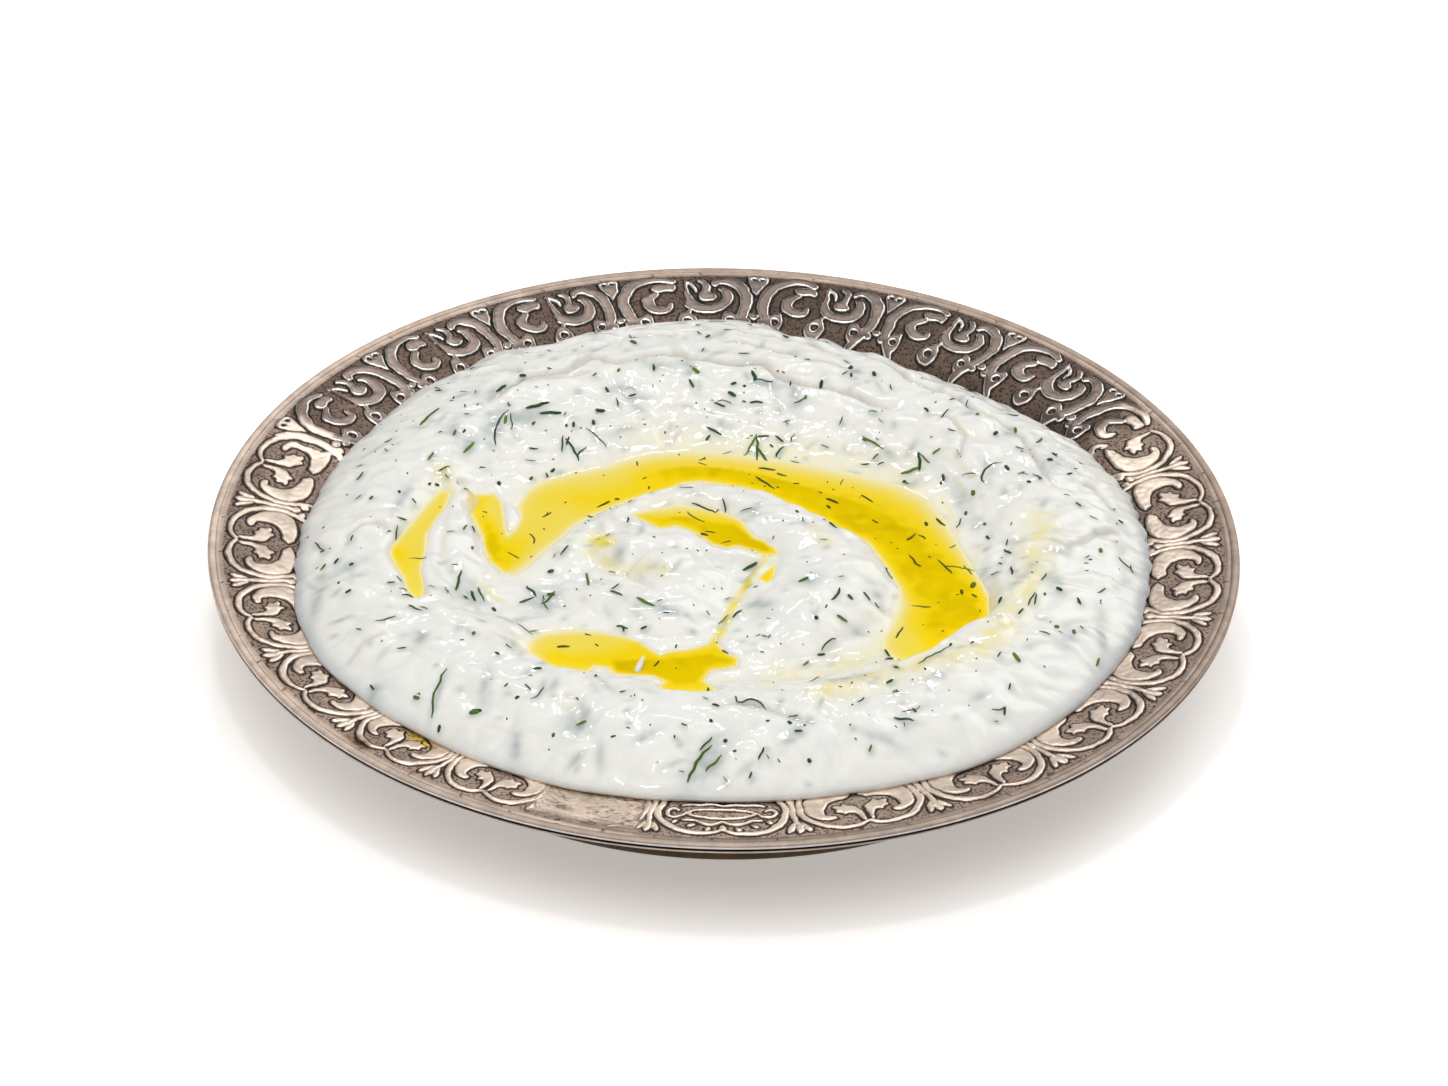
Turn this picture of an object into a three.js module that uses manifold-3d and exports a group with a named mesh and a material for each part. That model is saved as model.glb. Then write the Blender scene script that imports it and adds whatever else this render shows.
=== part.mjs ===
// A low metal meze dish with an embossed rim, heaped with haydari, the thick yoghurt and dill dip.
// Olive oil stands in the channels that the back of the spoon left in the dip.
// Millimetres, +Z up. X runs to the right of the dish and Y to its back, and the origin is the
// middle of the foot ring's underside.

import * as THREE from 'three';
import { mergeVertices } from 'three/addons/utils/BufferGeometryUtils.js';
import Module from 'manifold-3d';

const wasm = await Module();
wasm.setup();

// ---------------------------------------------------------------- driving dimensions

// the dish
const RIM_RADIUS = 100;
const DISH_HEIGHT = 22;
const SHEET = 1.2;              // thickness of the metal
const FOOT_RADIUS = 74.6;
const FOOT_WIDTH = 2.2;
const FOOT_RECESS = 3.2;        // hollow under the floor, inside the foot ring
const BEAD = 1.6;               // thickness of the rolled edge
const PLAIN_BAND = 4.6;         // smooth border between the edge and the ornament
const BAND_WIDTH = 12.8;        // embossed, sloping part of the rim
const BAND_FALL = 1.9;          // how far that part drops towards the well
const ORNAMENTS = 22;           // scrolls round the rim
const ORNAMENT_TURN = 4.2;      // degrees from the back to the first joint between scrolls
const RELIEF = 0.45;            // height of the scrolls over their ground
const FACETS = 66;              // straight sides that stand for a circle

// the dip
const TOE_EDGE = 0.7;           // thickness of its very edge
const CREST = 27.7;             // level of the heap's crest
const SPOON_FLOOR = 24.35;      // level of the bowl that the spoon pressed into it
const CREST_CENTRE = [-1.5, -3];
const CREST_RADII = [61.5, 58];
const GRAIN = 4.4;              // length of a side in the dip's facets
const GAP = 0.3;                // clearance between touching solids
const BED = 1.3 * GAP;          // clearance under the dip, where both faces are faceted
const BED_FACETS = 44;          // sides of the dip's plain underside
const BED_STEP = 0.4;           // how far each ring of the underside lies in from the one over it
const RIDGE_FALL = 4;           // height of a ridge's side, from its top to its foot

// the oil
const MOAT_LEVEL = 24;
const UPPER_LEVEL = 26;
const BRIM = 0.3;               // least height of the dip over the oil round its shore
const OPENING = 6;              // how far the cut for a pool goes on over the oil

const TURN = Math.PI * 2;
const { clamp, lerp, degToRad } = THREE.MathUtils;

// ---------------------------------------------------------------- helpers

function smooth(t) {
  const c = clamp(t, 0, 1);
  return c * c * (3 - 2 * c);
}

// Rises from 0 to 1 with a steep foot and a flat top.
function shoulder(t) {
  const c = clamp(t, 0, 1);
  return c * (2 - c);
}

function smoothMax(a, b, blend) {
  const k = clamp(0.5 + (a - b) / (2 * blend), 0, 1);
  return lerp(b, a, k) + blend * k * (1 - k);
}

// A repeatable run of numbers from 0 to 1.
function dice(seed) {
  let state = seed >>> 0;
  return () => {
    state = (Math.imul(state, 1664525) + 1013904223) >>> 0;
    return state / 4294967296;
  };
}

// The closed solid that a closed three.js geometry bounds.
function solidOf(geometry) {
  geometry.deleteAttribute('normal');
  geometry.deleteAttribute('uv');
  const merged = mergeVertices(geometry, 1e-4);
  const corners = merged.index.array;
  const triVerts = [];
  for (let i = 0; i < corners.length; i += 3) {
    const [a, b, c] = corners.slice(i, i + 3);
    if (a !== b && b !== c && c !== a) triVerts.push(a, b, c);
  }
  const vertProperties = new Float32Array(merged.attributes.position.array);
  return new wasm.Manifold(new wasm.Mesh({ numProp: 3, vertProperties, triVerts: new Uint32Array(triVerts) }));
}

function geometryOf(solid) {
  const { vertProperties, triVerts } = solid.getMesh();
  const geometry = new THREE.BufferGeometry();
  geometry.setAttribute('position', new THREE.BufferAttribute(vertProperties, 3));
  geometry.setIndex(new THREE.BufferAttribute(triVerts, 1));
  return geometry;
}

function largestPiece(solid) {
  return solid.decompose().reduce((best, next) => (next.volume() > best.volume() ? next : best));
}

// ---------------------------------------------------------------- the dish

const FLOOR = FOOT_RECESS + SHEET;
const BAND_OUTER = RIM_RADIUS - PLAIN_BAND;
const BAND_INNER = BAND_OUTER - BAND_WIDTH;
const BAND_TOP = DISH_HEIGHT - 0.35;
const BAND_FOOT = BAND_TOP - BAND_FALL;

// Upper face of the well, from the middle of the floor out to the embossed band.
const WELL = [
  [0, FLOOR],
  [66, FLOOR + 0.1],
  [70.6, FLOOR + 1.1],
  [74.2, FLOOR + 4.4],
  [77.2, FLOOR + 9.2],
  [80.2, BAND_FOOT - 1.6],
  [BAND_INNER, BAND_FOOT],
];

// Height of the sloping band under its ornament.
function bandHeight(radius) {
  return BAND_FOOT + (BAND_FALL * (radius - BAND_INNER)) / BAND_WIDTH;
}

// Height that keeps clear of the well, and of the ornament on the band round it.
function heightOverDish(radius) {
  if (radius >= BAND_INNER) return bandHeight(radius) + RELIEF + BED;
  let height = 0;
  for (let k = 1; k < WELL.length; k += 1) {
    const [ax, ay] = WELL[k - 1];
    const [bx, by] = WELL[k];
    if (radius < ax || radius > bx) continue;
    const slope = (by - ay) / (bx - ax);
    height = Math.max(height, ay + slope * (radius - ax) + BED * Math.hypot(1, slope));
  }
  return height;
}

function dishBody() {
  const edge = RIM_RADIUS - BEAD / 2;
  const middle = DISH_HEIGHT - BEAD / 2;
  const rolledEdge = [];
  for (let step = -2; step <= 2; step += 1) {
    const angle = (step * Math.PI) / 4;
    rolledEdge.push([edge + (BEAD / 2) * Math.cos(angle), middle + (BEAD / 2) * Math.sin(angle)]);
  }
  const profile = [
    [0, FOOT_RECESS],
    [FOOT_RADIUS - FOOT_WIDTH - 1, FOOT_RECESS],
    [FOOT_RADIUS - FOOT_WIDTH, 0],
    [FOOT_RADIUS, 0],
    [FOOT_RADIUS + 0.4, FOOT_RECESS],
    [FOOT_RADIUS + 2.6, FLOOR + 5],
    [FOOT_RADIUS + 5.6, FLOOR + 10.4],
    [BAND_INNER + 1, BAND_FOOT - SHEET - 0.2],
    [BAND_OUTER, BAND_TOP - SHEET],
    ...rolledEdge,
    [BAND_OUTER + 2.6, BAND_TOP],
    [BAND_OUTER, BAND_TOP],
    ...WELL.slice().reverse(),
  ];
  const points = profile.map(([radius, height]) => new THREE.Vector2(radius, height));
  const geometry = new THREE.LatheGeometry(points, FACETS);
  geometry.rotateX(Math.PI / 2);
  return solidOf(geometry);
}

// Right half of each form in a scroll, drawn flat: [distance from the scroll's axis, radius on the dish].
const BORDER_LINE = [[0, 94.2], [5, 94.9], [9.4, 92.4], [11.1, 88.4], [10.6, 84.2]];
const BORDER_WIDTH = 1.2;
const BROAD_LEAF = [[0, 85], [5.2, 86], [7, 88.4], [5.2, 91.4], [7.3, 92.2], [9.4, 89.4], [9.2, 85.4], [6.6, 83.8]];
const LOBED_LEAF = [[0, 93.2], [4.6, 89.8], [3.6, 87.2], [0, 88.4]];
const PALMETTE = [[0, 90.2], [1.9, 94.4], [0, 95.4]];

// A line that starts on the axis, carried on in mirror image on the axis's other side.
// A closed one may meet the axis again at its end.
function bothSides(half, closed) {
  const mirrored = half.filter(([across]) => across !== 0).map(([across, radius]) => [-across, radius]);
  return closed ? [...half, ...mirrored.reverse()] : [...mirrored.reverse(), ...half];
}

// Both sides of a ribbon that follows a line of points.
function ribbon(line, width) {
  const left = [];
  const right = [];
  line.forEach(([x, y], i) => {
    const [ax, ay] = line[Math.max(i - 1, 0)];
    const [bx, by] = line[Math.min(i + 1, line.length - 1)];
    const length = Math.hypot(bx - ax, by - ay);
    const nx = (-(by - ay) / length) * (width / 2);
    const ny = ((bx - ax) / length) * (width / 2);
    left.push([x + nx, y + ny]);
    right.unshift([x - nx, y - ny]);
  });
  return [...left, ...right];
}

// A flat shape raised on the band and wrapped round the dish, turned to its place in degrees.
function embossed(outline, turn) {
  const shape = new THREE.Shape(outline.map(([across, radius]) => new THREE.Vector2(across, radius)));
  const geometry = new THREE.ExtrudeGeometry(shape, { depth: 2 * RELIEF, bevelEnabled: false });
  const place = geometry.attributes.position;
  const middleRadius = BAND_INNER + BAND_WIDTH / 2;
  for (let i = 0; i < place.count; i += 1) {
    const radius = place.getY(i);
    const angle = degToRad(turn) + place.getX(i) / middleRadius;
    const height = bandHeight(radius) + place.getZ(i) - RELIEF;
    place.setXYZ(i, radius * Math.sin(angle), radius * Math.cos(angle), height);
  }
  return solidOf(geometry);
}

function dishSolid() {
  const pitch = 360 / ORNAMENTS;
  const border = ribbon(bothSides(BORDER_LINE, false), BORDER_WIDTH);
  const relief = [];
  for (let i = 0; i < ORNAMENTS; i += 1) {
    const joint = ORNAMENT_TURN + i * pitch;
    const axis = joint + pitch / 2;
    relief.push(embossed(bothSides(PALMETTE, true), joint));
    relief.push(embossed(border, axis));
    relief.push(embossed(bothSides(LOBED_LEAF, true), axis));
    relief.push(embossed(bothSides(BROAD_LEAF, true), axis));
  }
  return largestPiece(wasm.Manifold.union([dishBody(), ...relief]));
}

// ---------------------------------------------------------------- the oil's shores

// Each pool's shore runs once round it: [x, y, how wide the dip's bank is there].
// A narrow bank is a steep one, and a wide one is a gentle beach.
const POOLS = {
  oil_main_crescent: {
    level: MOAT_LEVEL,
    depth: 2.6,
    shore: [
      [-50.8, 12, 2], [-50.2, 7, 2], [-48.6, 2, 2], [-46.9, -3, 2], [-46.2, -8, 2], [-45, -12, 2],
      [-42.8, -15.5, 3], [-40.3, -16.6, 5], [-37.4, -13, 5], [-34.6, -8, 5], [-31.6, -3.6, 5],
      [-29.2, 1, 4], [-26, 4.3, 3], [-20, 9.3, 2], [-15, 12.5, 2], [-11, 14.2, 2], [-8.5, 16.5, 2],
      [-5, 17.4, 2], [0, 16.4, 2], [4.5, 15, 2], [8, 12.5, 2], [12, 9.8, 2], [15, 7, 2],
      [17.5, 5.2, 2], [20, 4.2, 2], [22.5, 0.5, 2], [26, -1.3, 2], [27.7, -2.7, 2], [29.8, -7.2, 2],
      [31.8, -12, 2], [33.8, -18.5, 3], [33.8, -24, 6], [32.4, -30, 6], [30.6, -35, 6],
      [30.6, -39, 5], [33, -42.3, 4], [37, -43, 2], [40, -40, 1.5], [42.4, -37, 1.5],
      [44.5, -33.5, 1.5], [47.5, -31.5, 1.5], [50, -30.4, 1.5], [51.1, -27, 2], [51.2, -21, 2.5],
      [50, -16.5, 3], [48.4, -12, 4], [46.5, -6, 5], [44.6, 0, 6], [42.8, 6, 8], [39.6, 13, 10],
      [34, 17.6, 10], [26, 21, 10], [18, 23.6, 10], [10, 25.8, 10], [0, 27.8, 10], [-8, 28.2, 10],
      [-15, 26.8, 9], [-20, 24.3, 8], [-24, 21.8, 8], [-31, 19, 8], [-36, 16.2, 7], [-39, 12, 5],
      [-40.2, 7.5, 4], [-39.6, 3, 3], [-40.5, -1, 2], [-41.9, -3, 2], [-42.5, 0.5, 2],
      [-43, 5, 2], [-43.5, 9, 2], [-45, 11.6, 2], [-47.6, 11.2, 2],
    ],
  },
  oil_left_streak: {
    level: UPPER_LEVEL,
    depth: 1.5,
    shore: [
      [-53.2, 8.6, 3], [-54.2, 3.4, 2], [-55.8, -1, 2], [-57.4, -6, 2], [-57.4, -12, 2],
      [-58, -18, 2], [-57, -24, 2], [-57.2, -27.4, 2], [-58.7, -28.2, 2], [-60.4, -24.8, 2],
      [-61.2, -21, 2], [-62.7, -17.6, 2], [-64, -13.6, 2], [-64.3, -11.4, 2], [-62.6, -7, 3],
      [-60.6, -2, 4], [-58.8, 2.4, 4], [-57.2, 6.2, 4], [-55.4, 9.6, 4],
    ],
  },
  oil_inner_crescent: {
    level: UPPER_LEVEL,
    depth: 2,
    shore: [
      [-18.4, 2.4, 3], [-14, 4.4, 5], [-9, 6, 6], [-4, 5.4, 6], [0, 3.9, 5], [3.4, 1.1, 3],
      [4.8, -2.4, 2], [5.8, -4.5, 2], [8, -5.9, 2], [10, -8.4, 2], [10.7, -10.3, 2],
      [8, -10.9, 2], [5.5, -9.4, 2], [2.5, -7.9, 2], [0.5, -8.7, 2], [-2.5, -7.4, 2],
      [-4.5, -4.9, 2], [-7, -2.6, 2], [-9.3, -1.4, 2], [-12.5, -2.4, 2], [-15.2, -0.3, 2],
    ],
  },
  oil_channel_drop: {
    level: UPPER_LEVEL - 0.6,
    depth: 1.5,
    shore: [
      [10, -12.6, 1.5], [8.4, -15, 1.5], [6.6, -17.8, 1.5], [8.4, -19.6, 1.5], [9.7, -17.6, 1.5],
      [9.9, -15, 1.5],
    ],
  },
  oil_front_pool: {
    level: MOAT_LEVEL,
    depth: 2,
    shore: [
      [-37, -42, 5], [-36.4, -38.2, 5], [-34, -35.8, 5], [-28, -34.6, 5], [-23, -35, 4],
      [-19, -36.2, 3], [-15.4, -38, 2], [-13.2, -40.6, 2], [-11.6, -42, 2], [-10, -41, 2],
      [-6, -39.8, 3], [-2.8, -38.2, 3], [-1.3, -35, 2], [-0.6, -38.4, 2], [1, -41, 2],
      [3.2, -42.7, 2], [3, -45.4, 2], [0, -46.4, 2], [-2, -47, 2], [-3.2, -50.4, 2],
      [-1, -53, 2], [-1, -55.8, 2], [-5, -56.3, 2], [-10, -56, 2], [-11.8, -52.8, 2],
      [-10.8, -51, 2], [-12.8, -49.3, 2], [-20, -49, 2], [-21.6, -46.8, 2], [-24, -46.4, 2],
      [-26, -50, 2], [-31, -49, 2], [-34.4, -45.4, 3],
    ],
  },
};

// Distance from a point to a shore, negative over the oil, and the width of the bank there.
function shoreAt(x, y, shore) {
  let distance = Infinity;
  let bank = 0;
  let inside = false;
  shore.forEach(([bx, by, bw], i) => {
    const [ax, ay, aw] = shore[(i + shore.length - 1) % shore.length];
    const dx = bx - ax;
    const dy = by - ay;
    const t = clamp(((x - ax) * dx + (y - ay) * dy) / (dx * dx + dy * dy), 0, 1);
    const d = Math.hypot(x - ax - t * dx, y - ay - t * dy);
    if (d < distance) {
      distance = d;
      bank = lerp(aw, bw, t);
    }
    if (ay > y !== by > y && x < ax + (dx * (y - ay)) / dy) inside = !inside;
  });
  return { distance: inside ? -distance : distance, bank };
}

// ---------------------------------------------------------------- the dip's surface

// Ridges left between the spoon's strokes: [x, y, level of the top, half width].
const MOUND_ARM = [
  [-25, 0, 25.6, 5], [-15, 5.5, 26.7, 6.5], [-5, 9, 27.4, 8], [5, 7, 27.6, 8.5], [12, 1.5, 27.7, 9.5],
  [18, -6, 27.9, 11.5], [20, -15, 28.2, 13], [17, -25, 28, 14.5], [14, -33, 26.9, 13], [10, -39, 25.4, 9],
];
const MOUND_HEART = [
  [-20, -7, 26.9, 7], [-12, -10, 27.6, 9.5], [-9, -18, 27.5, 11], [-11, -27, 26.8, 11.5], [-21, -24, 25.9, 9],
];
const LEFT_BANK = [[-54.5, 22, 28, 6], [-52.8, 8, 26.9, 4], [-52, -4, 27, 5.5], [-50.5, -18, 26.2, 6]];
const RIDGES = [MOUND_ARM, MOUND_HEART, LEFT_BANK];

// Lips where one spoonful lies over the next on the heap's back: [x, y] along the lip.
const FOLDS = [
  { height: 1, line: [[-36, 49], [-27, 54], [-19, 55], [-10, 57], [0, 55], [7, 52], [17, 47.5], [26, 43.5], [36, 40.5]] },
  { height: 0.8, line: [[1, 65], [9, 61], [18, 58.5], [27, 56], [35, 52]] },
  { height: 0.9, line: [[36, 56], [43, 52.5], [50, 46], [58, 40], [65, 34.5], [71, 26]] },
  { height: 0.8, line: [[-62, 32], [-55, 38], [-48, 46], [-40, 50.5], [-33, 56], [-26, 61]] },
];
const FOLD_RUN = 5;             // how far a lip swells back from its edge
const FOLD_DROP = 1;            // width of its steep side

// The nearest point on an open line: distance, side (positive outwards) and place along it.
function alongLine(x, y, line) {
  let best = { distance: Infinity };
  for (let i = 1; i < line.length; i += 1) {
    const [ax, ay] = line[i - 1];
    const [bx, by] = line[i];
    const dx = bx - ax;
    const dy = by - ay;
    const t = clamp(((x - ax) * dx + (y - ay) * dy) / (dx * dx + dy * dy), 0, 1);
    const distance = Math.hypot(x - ax - t * dx, y - ay - t * dy);
    if (distance < best.distance) {
      const outwards = dx * (y - ay) - dy * (x - ax) > 0;
      best = { distance, outwards, segment: i, t, place: (i - 1 + t) / (line.length - 1) };
    }
  }
  return best;
}

function ridgeHeight(x, y, ridge) {
  const { distance, segment, t } = alongLine(x, y, ridge);
  const [, , fromTop, fromWidth] = ridge[segment - 1];
  const [, , toTop, toWidth] = ridge[segment];
  const q = distance / lerp(fromWidth, toWidth, t);
  if (q >= 1) return 0;
  return lerp(fromTop, toTop, t) - RIDGE_FALL * (1 - (1 - q * q) ** 0.75);
}

function foldHeight(x, y, { height, line }) {
  const { distance, outwards, place } = alongLine(x, y, line);
  const fade = smooth(place * 5) * smooth((1 - place) * 5);
  const lip = outwards ? 1 - smooth(distance / FOLD_DROP) : Math.exp(-distance / FOLD_RUN);
  return height * fade * lip;
}

// Soft lumps, as a sum of waves that cross in all directions.
const LUMPS = [];
const roll = dice(7);
for (let i = 0; i < 26; i += 1) {
  const length = lerp(9, 24, roll());
  const heading = TURN * roll();
  LUMPS.push({
    height: 0.011 * length,
    along: [(TURN / length) * Math.cos(heading), (TURN / length) * Math.sin(heading)],
    phase: TURN * roll(),
  });
}

function lumps(x, y) {
  return LUMPS.reduce((sum, wave) => sum + wave.height * Math.sin(wave.along[0] * x + wave.along[1] * y + wave.phase), 0);
}

// Where the dip ends on the dish: [degrees clockwise from the back, radius].
// It reaches out over the ornament in front, and stops on the well's wall at the back.
const TOE = [
  [0, 82], [12, 79], [30, 77.8], [50, 79.2], [65, 81], [90, 82.7], [110, 83.9], [130, 85], [147, 86.1],
  [165, 84.3], [182, 84.2], [200, 86], [220, 86], [240, 87.1], [250, 86], [262, 83.3], [280, 81.3],
  [300, 81], [325, 82.2], [333, 81], [350, 81.7], [360, 82],
];

function toeRadius(x, y) {
  const compass = (THREE.MathUtils.radToDeg(Math.atan2(x, y)) + 360) % 360;
  const i = TOE.findIndex(([degrees]) => degrees > compass);
  const [fromAngle, fromRadius] = TOE[i - 1];
  const [toAngle, toRadius] = TOE[i];
  return lerp(fromRadius, toRadius, smooth((compass - fromAngle) / (toAngle - fromAngle)));
}

// The heap before any spoon stroke: a bowl inside a crest, and a slope down to the toe.
function heapHeight(x, y) {
  const radius = Math.hypot(x, y);
  const u = (x - CREST_CENTRE[0]) / CREST_RADII[0];
  const v = (y - CREST_CENTRE[1]) / CREST_RADII[1];
  const q = Math.hypot(u, v);
  const towardsBack = q > 0 ? Math.max(v / q, 0) : 0;
  const crest = CREST + 0.5 * towardsBack;
  if (q < 1) {
    const wallStart = lerp(0.8, 0.48, towardsBack ** 2);
    return lerp(SPOON_FLOOR, crest, smooth((q - wallStart) / (1 - wallStart)) ** 0.9);
  }
  const toe = toeRadius(x, y);
  const crestRadius = radius / q;
  const down = clamp((radius - crestRadius) / (toe - crestRadius), 0, 1);
  const edge = heightOverDish(toe) + TOE_EDGE;
  return edge + (crest - edge) * (1 - down ** 2.1) ** 0.8;
}

function dipHeight(x, y) {
  const calm = smooth((toeRadius(x, y) - Math.hypot(x, y)) / 8);
  let height = heapHeight(x, y);
  for (const ridge of RIDGES) height = smoothMax(height, ridgeHeight(x, y, ridge), 0.7);
  for (const fold of FOLDS) height += calm * foldHeight(x, y, fold);
  height += calm * lumps(x, y);
  for (const { level, shore } of Object.values(POOLS)) {
    const { distance, bank } = shoreAt(x, y, shore);
    const brim = level + BRIM;
    if (distance < 0) height = brim;
    else height = Math.max(lerp(brim, height, shoulder(distance / bank)), brim - Math.max(distance - bank, 0));
  }
  return height;
}

// ---------------------------------------------------------------- the dip's solid

// Triangles between two rings of points whose numbers differ, the outer ring given second.
function zip(corners, inner, outer, upwards) {
  let i = 0;
  let j = 0;
  while (i < inner.count || j < outer.count) {
    const a = inner.first + (i % inner.count);
    const b = outer.first + (j % outer.count);
    const stepOuter = (j + 0.5) / outer.count < (i + 0.5) / inner.count;
    const next = stepOuter ? outer.first + ((j + 1) % outer.count) : inner.first + ((i + 1) % inner.count);
    if (upwards) corners.push(a, b, next);
    else corners.push(b, a, next);
    if (stepOuter) j += 1;
    else i += 1;
  }
}

function dipBody() {
  const places = [];
  const corners = [];
  const addRing = (count, place) => {
    const first = places.length / 3;
    for (let i = 0; i < count; i += 1) places.push(...place((TURN * i) / count));
    return { first, count };
  };
  const countAt = (radius) => Math.max(6, Math.round((TURN * radius) / GRAIN));

  const rings = Math.round(BAND_INNER / GRAIN);
  let ring = addRing(1, () => [0, 0, dipHeight(0, 0)]);
  for (let k = 1; k <= rings; k += 1) {
    const next = addRing(countAt((BAND_INNER * k) / rings), (angle) => {
      const radius = (toeRadius(Math.cos(angle), Math.sin(angle)) * k) / rings;
      const x = radius * Math.cos(angle);
      const y = radius * Math.sin(angle);
      return [x, y, dipHeight(x, y)];
    });
    zip(corners, ring, next, true);
    ring = next;
  }

  // the toe's thin wall, and the underside, which keeps clear of the well all the way in
  const underside = (reach, inset) => (angle) => {
    const radius = Math.min(reach, toeRadius(Math.cos(angle), Math.sin(angle)) - inset);
    return [radius * Math.cos(angle), radius * Math.sin(angle), heightOverDish(radius)];
  };
  let outer = addRing(ring.count, underside(BAND_OUTER, 0));
  zip(corners, ring, outer, true);
  for (let k = WELL.length - 1; k >= 0; k -= 1) {
    const next = addRing(k === 0 ? 1 : BED_FACETS, underside(WELL[k][0], BED_STEP * (WELL.length - k)));
    zip(corners, next, outer, false);
    outer = next;
  }

  const geometry = new THREE.BufferGeometry();
  geometry.setAttribute('position', new THREE.Float32BufferAttribute(places, 3));
  geometry.setIndex(corners);
  return solidOf(geometry);
}

// The largest threads of dill that lie in the dip's skin, half sunk in it.
const DILL_THREADS = 40;
const DILL_PLACES = 80;         // places tried for them on one round of the dip
const DILL_THICKNESS = 0.8;
const DILL_CLEARANCE = 2.5;     // from the oil

function dillThreads() {
  const random = dice(23);
  const half = DILL_THICKNESS / 2;
  const section = new THREE.Shape([[-half, -half], [half, -half], [half, half], [-half, half]]
    .map(([x, y]) => new THREE.Vector2(x, y)));
  const threads = [];
  let tries = 0;
  while (threads.length < DILL_THREADS) {
    const place = (tries + 0.5) / DILL_PLACES;
    const radius = (BAND_INNER - 7) * Math.sqrt(place % 1);
    const angle = tries * Math.PI * (3 - Math.sqrt(5)) + 0.6 * random();
    const heading = TURN * random();
    const length = lerp(3.2, 6.5, random());
    const bend = lerp(-0.6, 0.6, random());
    tries += 1;
    const x = radius * Math.cos(angle);
    const y = radius * Math.sin(angle);
    const dry = Object.values(POOLS).every(({ shore }) => shoreAt(x, y, shore).distance > length / 2 + DILL_CLEARANCE);
    if (!dry) continue;
    const points = [-1, 0, 1].map((side) => {
      const px = x + (side * length * Math.cos(heading + side * bend)) / 2;
      const py = y + (side * length * Math.sin(heading + side * bend)) / 2;
      return new THREE.Vector3(px, py, dipHeight(px, py) + (side === 0 ? 0.15 : -0.05));
    });
    const extrudePath = new THREE.CatmullRomCurve3(points);
    threads.push(solidOf(new THREE.ExtrudeGeometry(section, { steps: 2, extrudePath })));
  }
  return threads;
}

// ---------------------------------------------------------------- the oil

// The upright solid inside a shore, drawn in from it by the given clearance.
function insideShore(shore, clearance, bottom, top) {
  const outline = shore.map(([x, y]) => new THREE.Vector2(x, y));
  const inwards = THREE.ShapeUtils.isClockWise(outline) ? -clearance : clearance;
  const drawnIn = outline.map(({ x, y }, i) => {
    const before = outline[(i + outline.length - 1) % outline.length];
    const after = outline[(i + 1) % outline.length];
    const scale = inwards / before.distanceTo(after);
    return new THREE.Vector2(x - (after.y - before.y) * scale, y + (after.x - before.x) * scale);
  });
  const geometry = new THREE.ExtrudeGeometry(new THREE.Shape(drawnIn), { depth: top - bottom, bevelEnabled: false });
  geometry.translate(0, 0, bottom);
  return solidOf(geometry);
}

// The hollow that a pool stands in, open upwards.
function basinSolid({ level, depth, shore }) {
  return insideShore(shore, 0, level - depth, level + OPENING);
}

function oilSolid({ level, depth, shore }) {
  return insideShore(shore, GAP, level - depth + GAP, level);
}

// ---------------------------------------------------------------- the whole

const METAL = new THREE.MeshStandardMaterial({ color: 0xb8a596, roughness: 0.34, metalness: 0.9 });
const YOGHURT = new THREE.MeshStandardMaterial({ color: 0xeceeea, roughness: 0.38, metalness: 0 });
const OLIVE_OIL = new THREE.MeshStandardMaterial({ color: 0xeec80a, roughness: 0.08, metalness: 0 });

const basins = Object.values(POOLS).map(basinSolid);
const dip = wasm.Manifold.union([dipBody(), ...dillThreads()]);
const haydari = largestPiece(basins.reduce((left, basin) => left.subtract(basin), dip));

const model = new THREE.Group();

function addPiece(name, solid, material) {
  const mesh = new THREE.Mesh(geometryOf(solid), material);
  mesh.name = name;
  model.add(mesh);
}

addPiece('dish', dishSolid(), METAL);
addPiece('haydari', haydari, YOGHURT);
for (const [name, pool] of Object.entries(POOLS)) addPiece(name, oilSolid(pool), OLIVE_OIL);

export default model;
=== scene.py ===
"""Dresses the dish of haydari: its aged metal, the yoghurt and dill dip, and the olive oil in it."""

import math

import bpy
import numpy as np
from mathutils import Matrix, Vector


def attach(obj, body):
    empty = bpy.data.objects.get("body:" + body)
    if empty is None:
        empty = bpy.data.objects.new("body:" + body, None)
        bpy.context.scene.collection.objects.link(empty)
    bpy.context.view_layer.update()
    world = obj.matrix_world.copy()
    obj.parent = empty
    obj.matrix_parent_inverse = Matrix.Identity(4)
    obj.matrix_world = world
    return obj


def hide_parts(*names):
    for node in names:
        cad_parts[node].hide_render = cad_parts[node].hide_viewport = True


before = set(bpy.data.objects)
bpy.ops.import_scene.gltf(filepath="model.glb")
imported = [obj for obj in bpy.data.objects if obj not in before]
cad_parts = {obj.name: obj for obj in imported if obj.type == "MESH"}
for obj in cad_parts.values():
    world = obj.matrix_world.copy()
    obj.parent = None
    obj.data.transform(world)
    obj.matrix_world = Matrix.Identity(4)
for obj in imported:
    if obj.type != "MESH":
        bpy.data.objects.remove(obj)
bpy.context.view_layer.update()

# ------------------------------------------------------------------ the dish's shell
# The dish is one low round of stamped metal sheet: flat floor, steep wall, sloping rim, rolled edge
# and a foot ring under it. It is silvered, and has aged to a warm grey-brown.

MM = 0.001  # a millimetre in metres: the shapes are worked out in millimetres


def linear(*print_colour):
    """A colour read off a print, 0 to 255, as the amounts of light that Blender mixes."""
    parts = [c / 255 for c in print_colour]
    return tuple(c / 12.92 if c <= 0.04045 else ((c + 0.055) / 1.055) ** 2.4 for c in parts)


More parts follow.
